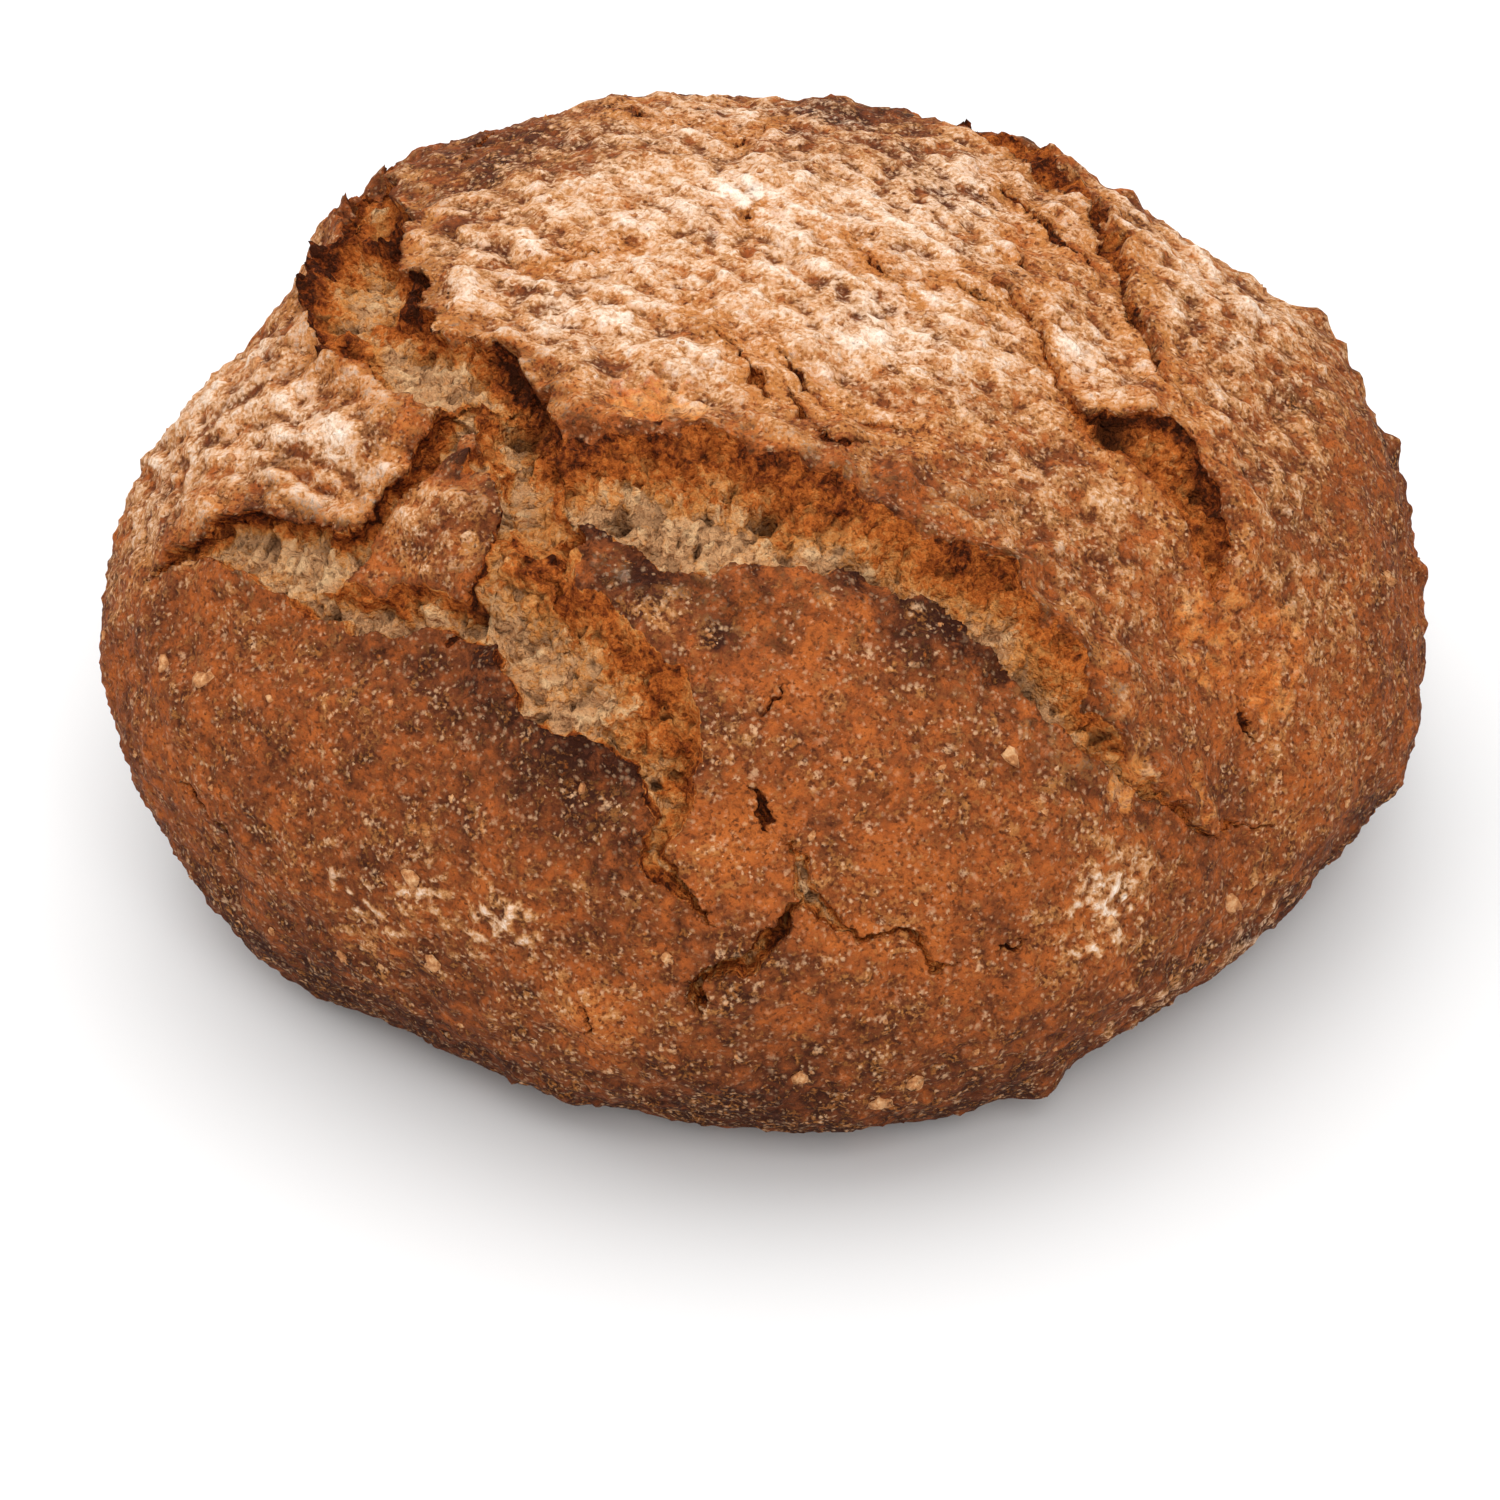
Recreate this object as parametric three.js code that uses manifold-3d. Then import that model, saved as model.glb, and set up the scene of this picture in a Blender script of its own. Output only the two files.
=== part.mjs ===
// A rustic wheat and spelt loaf: one solid of baked dough, torn open along its crown,
// with bran flakes baked into the crust. Millimetres, +Z up, origin on the table under the loaf's middle.
import * as THREE from "three";
import { mergeVertices } from "three/addons/utils/BufferGeometryUtils.js";
import { ImprovedNoise } from "three/addons/math/ImprovedNoise.js";
import Module from "manifold-3d";

// Driving dimensions of the risen dough
const GIRTH_RADIUS = 115; // mean radius at the widest height
const GIRTH_HEIGHT = 39; // height of the widest line above the table
const CROWN_HEIGHT = 112; // height of the top of the dome
const BASE_DROP = 49; // how far the under-curve would reach below the girth; the table cuts it flat
const CROWN_LEAN = { x: -12, y: 9.5 }; // the crown sits off the middle of the base
const DOME_FULLNESS = { out: 0.85, up: 0.87 }; // 1 is a plain ellipsoid, less is boxier
const FOOT_FULLNESS = { out: 0.5, up: 1 };

// The uneven girth: the share of the radius in each wave round the loaf, and where it peaks
const GIRTH_WAVES = [
  { count: 2, share: 0.017, peak: 48 },
  { count: 3, share: 0.015, peak: -14 },
  { count: 4, share: 0.025, peak: 17 },
  { count: 5, share: 0.015, peak: -13 },
];

// Broad places where the dough sank beside a tear or rose: where, how high and how far they reach
const SETTLINGS = [
  { azimuth: 160, polar: 52, height: -6, reach: 26 },
  { azimuth: 118, polar: 40, height: -2, reach: 22 },
  { azimuth: 6, polar: 60, height: 4, reach: 36 },
  { azimuth: 218, polar: 96, height: -2.5, reach: 40 },
  { azimuth: 275, polar: 105, height: -2.5, reach: 40 },
];

// Low swellings of the crust, as noise
const SWELLS = [
  { length: 46, height: 2.6 },
  { length: 21, height: 1.1 },
];

// Tears in the crust. A path runs through [azimuth, polar angle, width], in degrees and millimetres.
// Azimuth turns left from +X, and the polar angle goes down from the crown.
// Left and right are seen from outside, looking along the path.
// lift: how far the lip stands up, reach: how far back the crust rises to it,
// ease: the share of the width that each wall takes to come down.
const TEARS = [
  {
    name: "crown left",
    path: [[137, 51, 11], [150, 40, 16], [172, 31, 19], [202, 25, 19], [229, 24, 17], [242, 30, 15],
      [247, 37, 14]],
    depth: 10,
    left: { lift: 3.5, reach: 18, ease: 0.12 },
    right: { lift: 5, reach: 18, ease: 0.25 },
  },
  {
    name: "front left",
    path: [[244, 33, 14], [250, 44, 18], [256, 50, 19], [261, 53, 18], [264, 58, 13], [263, 65, 7],
      [264, 75, 0]],
    depth: 8,
    left: { lift: 1, reach: 12, ease: 0.35 },
    right: { lift: 3.5, reach: 10, ease: 0.1 },
  },
  {
    name: "front",
    path: [[244, 31, 18], [258, 30, 23], [270, 30, 23], [281, 33, 21], [297, 42, 21], [301, 52, 18],
      [305, 66, 9], [315, 84, 0]],
    depth: 8,
    left: { lift: 4.5, reach: 16, ease: 0.3 },
    right: { lift: 1.5, reach: 10, ease: 0.1 },
  },
  {
    name: "left",
    path: [[203, 63, 0], [208, 54, 7], [214, 50, 14], [221, 47, 14], [225, 40, 8], [228, 28, 10]],
    depth: 7,
    left: { lift: 4, reach: 14, ease: 0.1 },
    right: { lift: 2, reach: 8, ease: 0.35 },
  },
  {
    name: "island",
    path: [[220, 51, 6], [230, 50, 10], [237, 49, 8], [249, 47, 8]],
    depth: 5,
    left: { lift: 1, reach: 6, ease: 0.2 },
    right: { lift: 2, reach: 8, ease: 0.2 },
  },
  {
    name: "right",
    path: [[96, 50, 8], [74, 47, 11], [54, 42, 11], [36, 38, 9], [18, 35, 9], [0, 34, 6], [-16, 40, 0]],
    depth: 6,
    left: { lift: 3.5, reach: 14, ease: 0.3 },
    right: { lift: 2, reach: 12, ease: 0.12 },
  },
  {
    name: "flap",
    path: [[-14, 27, 2], [-25, 34, 5], [-26, 42, 15], [-29, 49, 13], [-32, 54, 10], [-36, 61, 0]],
    depth: 8,
    left: { lift: 5.5, reach: 12, ease: 0.12 },
    right: { lift: 0.5, reach: 10, ease: 0.4 },
  },
  {
    name: "back",
    path: [[143, 46, 10], [128, 51, 13], [112, 52, 12], [92, 49, 9]],
    depth: 8,
    left: { lift: 4, reach: 16, ease: 0.2 },
    right: { lift: 2.5, reach: 16, ease: 0.2 },
  },
  {
    name: "back left drop",
    path: [[122, 52, 10], [118, 60, 15], [121, 70, 12], [117, 86, 0]],
    depth: 7,
    left: { lift: 3, reach: 10, ease: 0.12 },
    right: { lift: 1, reach: 10, ease: 0.35 },
  },
  {
    name: "back right drop",
    path: [[66, 45, 9], [61, 54, 14], [64, 66, 13], [59, 80, 0]],
    depth: 7,
    left: { lift: 1, reach: 10, ease: 0.35 },
    right: { lift: 3.5, reach: 10, ease: 0.12 },
  },
  {
    name: "low front",
    path: [[262, 88, 0], [268, 80, 6], [273, 75, 7], [277, 77, 6], [284, 81, 4], [293, 83, 0]],
    depth: 4,
    left: { lift: 1, reach: 5, ease: 0.2 },
    right: { lift: 1, reach: 5, ease: 0.2 },
  },
];
const TEAR_STEPS = 40; // samples along a tear
const FULL_TEAR = 9; // a tear narrower than this is shallower in proportion
const CRUMB_RELIEF = { height: 2.6, length: 6, fullDepth: 4 }; // crags of the torn crumb, full below this depth
const FREE_HEIGHT = 12; // below this height the relief fades out, so that the base lies flat

// Edge lengths of the net: on open crust, inside a tear and at a lip
const CRUST_EDGE = 11;
const TEAR_EDGE = 5;
const LIP_EDGE = 3.4;
const EDGE_GROWTH = 0.8; // how fast the edges lengthen away from a lip
const LIP_SNAP = 1.2; // corners this near a lip are set on it
const START_DETAIL = 9; // splits of each icosahedron edge in the starting net, less one
const FINER_PASSES = 3;

// Dough that squeezed out at the foot, each nub pushing the crust out round its own middle
const FOOT_NUBS = [
  { azimuth: -65, polar: 124, height: 3, reach: 5 },
  { azimuth: -17, polar: 102, height: 2.4, reach: 4 },
];

// Bran flakes, baked flat onto the crust
const FLAKE = { length: 5, width: 3.8, thickness: 1.8 };
const FLAKE_SPREAD = { count: 22, fromPolar: 24, toPolar: 104 };
const GOLDEN_ANGLE = 137.508; // turns from each scattered flake to the next
// The flakes that stand out at the front: [azimuth, polar angle]
const FRONT_FLAKES = [[204, 45], [216, 66], [297, 55.5], [276, 79], [269, 84], [272, 101], [282, 104],
  [279, 109], [300, 84], [240, 79], [240, 89]];
const FLAKE_CLEAR = 4; // kept between a flake and a torn lip
const SEED = 20;

const BASE_DENSITY = 0.3; // corners of the net under the base, against the rest of the crust
const CRUST_COLOUR = 0x9a5a32;

const radians = THREE.MathUtils.degToRad;
const noise = new ImprovedNoise();

// A point of the dough before it tore, at an azimuth and polar angle in radians.
function dough(azimuth, polar) {
  const waves = GIRTH_WAVES.reduce(
    (sum, wave) => sum + wave.share * Math.cos(wave.count * (azimuth - radians(wave.peak))),
    1,
  );
  const across = Math.max(Math.sin(polar), 0);
  const rise = Math.cos(polar);
  const fullness = rise > 0 ? DOME_FULLNESS : FOOT_FULLNESS;
  const radius = GIRTH_RADIUS * waves * across ** fullness.out;
  const share = Math.abs(rise) ** fullness.up;
  const dome = CROWN_HEIGHT - GIRTH_HEIGHT;
  const lean = rise > 0 ? share : 0;
  return new THREE.Vector3(
    radius * Math.cos(azimuth) + CROWN_LEAN.x * lean,
    radius * Math.sin(azimuth) + CROWN_LEAN.y * lean,
    Math.max(rise > 0 ? GIRTH_HEIGHT + dome * share : GIRTH_HEIGHT - BASE_DROP * share, 0),
  );
}

// The dough's outward normal there, from its slope both ways.
function doughNormal(azimuth, polar) {
  const step = 0.01;
  const along = dough(azimuth + step, polar).sub(dough(azimuth - step, polar));
  const down = dough(azimuth, Math.min(polar + step, Math.PI)).sub(dough(azimuth, Math.max(polar - step, 0)));
  const normal = down.cross(along);
  return normal.lengthSq() > 1e-9 ? normal.normalize() : new THREE.Vector3(0, 0, Math.sign(Math.cos(polar)));
}

// A tear's samples: where it runs, how wide it is, and which way is left.
function traceTear(tear) {
  const curve = new THREE.CatmullRomCurve3(tear.path.map((point) => new THREE.Vector3(...point)));
  const points = curve.getPoints(TEAR_STEPS);
  const places = points.map((p) => dough(radians(p.x), radians(p.y)));
  const samples = points.map((p, i) => {
    const next = places[Math.min(i + 1, TEAR_STEPS)];
    const before = places[Math.max(i - 1, 0)];
    const along = next.clone().sub(before).normalize();
    const left = doughNormal(radians(p.x), radians(p.y)).cross(along).normalize();
    return { place: places[i], half: Math.max(p.z, 0) / 2, left };
  });
  return { ...tear, samples };
}

const tears = TEARS.map(traceTear);

// Where a point lies in a tear: its distance from the middle line, positive on the left, and the sample
// that is nearest.
function acrossTear(tear, point) {
  let nearest = tear.samples[0];
  let least = Infinity;
  for (const sample of tear.samples) {
    const distance = sample.place.distanceToSquared(point);
    if (distance < least) {
      least = distance;
      nearest = sample;
    }
  }
  const side = nearest.left.dot(point.clone().sub(nearest.place));
  return { offset: Math.sign(side) * Math.sqrt(least), sample: nearest };
}

// Moves a point that is close to a lip onto it, so that the torn edges are crisp.
function snapToLips(point) {
  for (const tear of tears) {
    const { offset, sample } = acrossTear(tear, point);
    const gap = sample.half - Math.abs(offset);
    if (sample.half > LIP_SNAP && Math.abs(gap) < LIP_SNAP)
      point.addScaledVector(sample.left, Math.sign(offset) * gap);
  }
}

// How far the crust stands off the dough because of the tears, and how deep it is cut.
function tearRelief(point) {
  let raised = 0;
  let cut = 0;
  for (const tear of tears) {
    const { offset, sample } = acrossTear(tear, point);
    const size = Math.min(1, (2 * sample.half) / FULL_TEAR);
    const lip = offset > 0 ? tear.left : tear.right;
    const outside = Math.abs(offset) - sample.half;
    if (outside >= 0) {
      raised = Math.max(raised, size * lip.lift * Math.exp(-outside / lip.reach));
    } else {
      const t = (offset / sample.half + 1) / 2;
      const rim = THREE.MathUtils.lerp(tear.right.lift, tear.left.lift, t * t * (3 - 2 * t));
      raised = Math.max(raised, size * rim);
      const walls = (1 - Math.exp(-t / tear.right.ease)) * (1 - Math.exp(-(1 - t) / tear.left.ease));
      cut = Math.max(cut, size * tear.depth * walls);
    }
  }
  return { raised, cut };
}

// Smooth noise, between about -1 and 1, that changes over the given length.
function noiseAt(point, length) {
  return noise.noise(point.x / length, point.y / length, point.z / length);
}

function swell(point) {
  return SWELLS.reduce((sum, { length, height }) => sum + height * noiseAt(point, length), 0);
}

// Smooth bumps and hollows, each round its own middle.
function bumps(list, point) {
  return list.reduce((sum, { azimuth, polar, height, reach }) => {
    const gap = point.distanceTo(dough(radians(azimuth), radians(polar)));
    return sum + height * Math.exp(-((gap / reach) ** 2));
  }, 0);
}

// The loaf's surface at an azimuth and polar angle.
function crust(azimuth, polar) {
  const point = dough(azimuth, polar);
  const normal = doughNormal(azimuth, polar);
  snapToLips(point);
  const { raised, cut } = tearRelief(point);
  const free = Math.min(1, point.z / FREE_HEIGHT);
  const craggy = Math.min(1, cut / CRUMB_RELIEF.fullDepth);
  const crags = craggy * CRUMB_RELIEF.height * noiseAt(point, CRUMB_RELIEF.length);
  const relief = raised - cut + crags + swell(point) + bumps(SETTLINGS, point) + bumps(FOOT_NUBS, point);
  point.addScaledVector(normal, relief * free);
  point.z = Math.max(point.z, 0);
  return { point, normal };
}

// Polar angles that spread an even sphere's rings evenly over the dough, with fewer under the base.
function evenRings() {
  const steps = 400;
  const table = [{ share: 0, polar: 0 }];
  let area = 0;
  for (let i = 1; i <= steps; i++) {
    const polar = (Math.PI * i) / steps;
    const here = dough(0, polar);
    const before = dough(0, polar - Math.PI / steps);
    const density = here.z > 0 ? 1 : BASE_DENSITY;
    area += density * here.distanceTo(before) * Math.hypot(here.x + before.x, here.y + before.y);
    table.push({ share: area, polar });
  }
  return (share) => {
    const wanted = share * area;
    const after = Math.max(1, table.findIndex((row) => row.share >= wanted));
    const [low, high] = [table[after - 1], table[after]];
    return THREE.MathUtils.lerp(low.polar, high.polar, (wanted - low.share) / (high.share - low.share));
  };
}

const polarFor = evenRings();

// A corner of the net, from a direction out of the middle of an even sphere.
function cornerAt(direction) {
  const azimuth = Math.atan2(direction.y, direction.x);
  const polar = polarFor(THREE.MathUtils.clamp((1 - direction.z) / 2, 0, 1));
  return { direction, azimuth, polar, place: dough(azimuth, polar) };
}

// The starting net: triangles of much the same size all over.
function evenNet() {
  const sphere = new THREE.IcosahedronGeometry(1, START_DETAIL);
  sphere.deleteAttribute("normal");
  sphere.deleteAttribute("uv");
  const { attributes, index } = mergeVertices(sphere, 1e-4);
  const corners = [];
  for (let i = 0; i < attributes.position.count; i++)
    corners.push(cornerAt(new THREE.Vector3().fromBufferAttribute(attributes.position, i)));
  const triangles = [];
  for (let i = 0; i < index.count; i += 3)
    triangles.push([index.getX(i), index.getX(i + 1), index.getX(i + 2)]);
  return { corners, triangles };
}

// The longest edge the net may have at a point: short at the lips, longer in a tear, longest on open crust.
function longestEdge(point) {
  let longest = CRUST_EDGE;
  for (const tear of tears) {
    const { offset, sample } = acrossTear(tear, point);
    const gap = Math.abs(Math.abs(offset) - sample.half);
    const inside = Math.abs(offset) < sample.half;
    longest = Math.min(longest, LIP_EDGE + EDGE_GROWTH * gap);
    if (inside) longest = Math.min(longest, TEAR_EDGE);
  }
  return longest;
}

// One triangle, cut through the middles of its split edges. A middle is null where the edge stays whole.
function cutTriangle([a, b, c], middle) {
  const [ab, bc, ca] = [middle(a, b), middle(b, c), middle(c, a)];
  const cuts = [ab, bc, ca].filter((corner) => corner !== null).length;
  if (cuts === 0) return [[a, b, c]];
  if (cuts === 3) return [[a, ab, ca], [ab, b, bc], [ca, bc, c], [ab, bc, ca]];
  if (ab === null || (cuts === 2 && ca !== null)) return cutTriangle([b, c, a], middle);
  if (cuts === 1) return [[a, ab, c], [ab, b, c]];
  return [[a, ab, c], [ab, b, bc], [ab, bc, c]];
}

// The net with every edge that is too long for its place split in two.
function finerNet({ corners, triangles }) {
  const middles = new Map();
  const middle = (a, b) => {
    const key = a < b ? `${a} ${b}` : `${b} ${a}`;
    if (!middles.has(key)) {
      const corner = cornerAt(corners[a].direction.clone().add(corners[b].direction).normalize());
      const tooLong = corners[a].place.distanceTo(corners[b].place) > longestEdge(corner.place);
      middles.set(key, tooLong ? corners.push(corner) - 1 : null);
    }
    return middles.get(key);
  };
  return { triangles: triangles.flatMap((triangle) => cutTriangle(triangle, middle)), corners };
}

// The whole crust as one closed mesh.
function crustGeometry() {
  let net = evenNet();
  for (let pass = 0; pass < FINER_PASSES; pass++) net = finerNet(net);
  const points = net.corners.map(({ azimuth, polar }) => crust(azimuth, polar).point);
  return new THREE.BufferGeometry().setFromPoints(points).setIndex(net.triangles.flat());
}

// A seeded draw from 0 to 1, the same on every run.
function seededDraw(seed) {
  let state = seed;
  return () => {
    state = (state * 16807) % 2147483647;
    return state / 2147483647;
  };
}

// One bran flake: a flat rough lozenge, half sunk in the crust.
function flakeGeometry(azimuth, polar, draw) {
  const { point, normal } = crust(radians(azimuth), radians(polar));
  const flake = new THREE.IcosahedronGeometry(0.5, 0);
  flake.rotateZ(draw() * Math.PI);
  flake.scale(FLAKE.length * (0.8 + 0.4 * draw()), FLAKE.width, FLAKE.thickness);
  flake.rotateZ(draw() * Math.PI);
  flake.applyQuaternion(new THREE.Quaternion().setFromUnitVectors(new THREE.Vector3(0, 0, 1), normal));
  return flake.translate(point.x, point.y, point.z);
}

// Where flakes lie: the ones at the front, and a golden-angle spread over the rest of the crust that
// stays clear of the tears.
function flakePlaces(draw) {
  const places = [...FRONT_FLAKES];
  const { count, fromPolar, toPolar } = FLAKE_SPREAD;
  for (let i = 0; i < count; i++) {
    const azimuth = (i * GOLDEN_ANGLE) % 360;
    const polar = THREE.MathUtils.lerp(fromPolar, toPolar, (i + draw()) / count);
    const point = dough(radians(azimuth), radians(polar));
    const clear = tears.every((tear) => {
      const { offset, sample } = acrossTear(tear, point);
      return Math.abs(offset) > sample.half + FLAKE_CLEAR;
    });
    if (clear) places.push([azimuth, polar]);
  }
  return places;
}

const wasm = await Module();
wasm.setup();

// A closed geometry as a solid that can be joined.
function solidOf(geometry) {
  const bare = new THREE.BufferGeometry().setAttribute("position", geometry.getAttribute("position"));
  if (geometry.index) bare.setIndex(geometry.index);
  const merged = mergeVertices(bare, 1e-4);
  return new wasm.Manifold(
    new wasm.Mesh({
      numProp: 3,
      vertProperties: merged.attributes.position.array,
      triVerts: new Uint32Array(merged.index.array),
    }),
  );
}

// A solid's mesh as a geometry again.
function geometryOf(solid) {
  const mesh = solid.getMesh();
  return new THREE.BufferGeometry()
    .setAttribute("position", new THREE.BufferAttribute(mesh.vertProperties, 3))
    .setIndex(new THREE.BufferAttribute(mesh.triVerts, 1));
}

// The loaf: its crust with the flakes fused on, set with the middle of its base at the origin.
function loafGeometry() {
  const draw = seededDraw(SEED);
  let solid = solidOf(crustGeometry());
  for (const [azimuth, polar] of flakePlaces(draw))
    solid = solid.add(solidOf(flakeGeometry(azimuth, polar, draw)));
  const geometry = geometryOf(solid);
  geometry.computeBoundingBox();
  const { min, max } = geometry.boundingBox;
  geometry.translate(-(min.x + max.x) / 2, -(min.y + max.y) / 2, -min.z);
  geometry.computeVertexNormals();
  return geometry;
}

const crustMaterial = new THREE.MeshStandardMaterial({ color: CRUST_COLOUR, roughness: 0.85, metalness: 0 });
const loaf = new THREE.Mesh(loafGeometry(), crustMaterial);
loaf.name = "loaf";

const group = new THREE.Group();
group.add(loaf);
export default group;
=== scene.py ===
"""The looks of a rustic wheat and spelt loaf: a floured, torn crust, open crumb and bran flakes."""

import math
from collections import namedtuple
from itertools import product
from types import SimpleNamespace

import bmesh
import bpy
import numpy as np
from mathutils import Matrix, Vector


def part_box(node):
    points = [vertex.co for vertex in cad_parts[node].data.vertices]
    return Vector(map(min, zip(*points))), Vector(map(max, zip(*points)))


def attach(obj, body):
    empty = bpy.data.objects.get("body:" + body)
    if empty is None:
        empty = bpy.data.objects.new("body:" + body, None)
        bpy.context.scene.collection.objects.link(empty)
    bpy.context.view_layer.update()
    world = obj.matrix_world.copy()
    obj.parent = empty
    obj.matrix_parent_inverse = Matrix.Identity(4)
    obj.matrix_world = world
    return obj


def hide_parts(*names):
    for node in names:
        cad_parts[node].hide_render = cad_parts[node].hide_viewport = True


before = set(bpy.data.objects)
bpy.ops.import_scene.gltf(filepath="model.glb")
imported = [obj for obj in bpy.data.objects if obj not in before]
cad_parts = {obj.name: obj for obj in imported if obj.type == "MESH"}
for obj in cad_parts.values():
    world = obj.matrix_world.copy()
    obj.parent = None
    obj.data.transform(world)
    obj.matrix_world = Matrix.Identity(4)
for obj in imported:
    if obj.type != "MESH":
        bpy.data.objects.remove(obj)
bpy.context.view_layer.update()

MM = 0.001
SEED = 7

# Driving dimensions of the risen dough, in millimetres, as in the solid
GIRTH_RADIUS = 115
GIRTH_HEIGHT = 39
CROWN_HEIGHT = 112
BASE_DROP = 49
CROWN_LEAN = (-12, 9.5)
# Powers that shape the radius and the height, above and below the girth
DOME_FULLNESS = (0.85, 0.87)
FOOT_FULLNESS = (0.5, 1)
# Waves in the girth: how many around it, their share of the radius and where one peaks, in degrees
GIRTH_WAVES = ((2, 0.017, 48), (3, 0.015, -14), (4, 0.025, 17), (5, 0.015, -13))
# The height from which the crust has its full relief
FREE_HEIGHT = 12

# A round patch of the crust: where its middle is, in degrees, how strong it is and how far it reaches.
# As relief its strength is a height in millimetres, as colour a share from 0 to 1
Patch = namedtuple("Patch", "azimuth polar strength reach")


def patch_list(*rows):
    return [Patch(*row) for row in rows]


# Where the risen dough sank or swelled
SETTLINGS = patch_list(
    (160, 52, -6, 26), (118, 40, -2, 22), (6, 60, 4, 36), (218, 96, -2.5, 40), (275, 105, -2.5, 40),
)
# Nubs at the foot, knobs on the right edge, the island of crust between the tears, a lump beside it,
# a blister and lumps along the lip of the top plate
KNOBS = patch_list(
    (-65, 124, 3, 5), (-17, 102, 2.4, 4), (25, 58, 2, 2.6), (19, 63, 2.8, 3), (14, 64, 1.6, 2),
    (11, 66, 2.2, 2.6), (5, 71, 2.6, 3), (2, 73, 1.5, 2), (0, 75, 2, 2.6), (356, 80, 2.2, 3),
    (353, 84, 1.5, 2.2), (40, 52, 2, 3), (236, 39, 4.5, 10), (234, 33, 2.5, 4), (246, 41, 4.5, 5),
    (255, 88.5, 2.8, 7), (280.5, 51.5, 0.8, 4), (233, 16.2, 1.8, 4), (241, 18, 2.2, 4.5),
    (240, 21.5, 1.6, 3.5), (250, 22.5, 2, 4), (270, 22, 2, 4), (278, 22, 2, 3.5), (284, 23.5, 2, 3.5),
    (294, 24.5, 2, 3.5),
)
# Cavities in the crumb
HOLES = patch_list(
    (257, 32, -4, 2), (278, 31, -4, 2), (286, 38, -5, 1.8), (297, 36.8, -5, 1.8), (296, 50, -5, 2.2),
    (301, 56.5, -4, 2.4), (235, 25, -5, 2.5), (333, 38, -5, 3), (289, 40, -4, 1.8), (238, 22, -4, 2),
    (330, 44, -4, 1.8), (329, 48, -3, 1.6), (333, 48.5, -3, 1.6), (243, 47, -4, 2), (157, 39.5, -5, 4),
)

# Toasted lumps in the crumb
LUMPS = patch_list(
    (184, 29.5, 3.5, 2.6), (188, 31.5, 3, 2.2), (196, 29, 3.5, 2.8), (201, 26.5, 3, 2.4),
    (208, 27.5, 3, 2.6), (177, 32, 3, 2.4),
)

# A lip of a tear. lift: how far it stands up. reach: how far back the crust rises to it.
# ease: the share of the tear's width that its wall takes to come down. over: how far it leans over.
# roll: how far the crust goes down the wall. brown: how far the toasted colour goes down it.
# crisp: how toasted the wall is, with painted shade in narrow cracks and under lips. char: how burnt the
# crust beside it is
Lip = namedtuple("Lip", "lift reach ease over roll brown crisp char")
# The lips of cracks and hairlines darken their insides with painted shade, given as dark toasting
LOW_LIP = Lip(0.5, 3, 0.15, 0.3, 0, 1.2, 0.6, 0)
HAIR_LIP = Lip(0.3, 3, 0.2, 0, 0, 1.5, 1.1, 0)
FOLD_LIP = Lip(2.5, 5, 0.25, 1, 0, 1.5, 0.75, 0)
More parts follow.
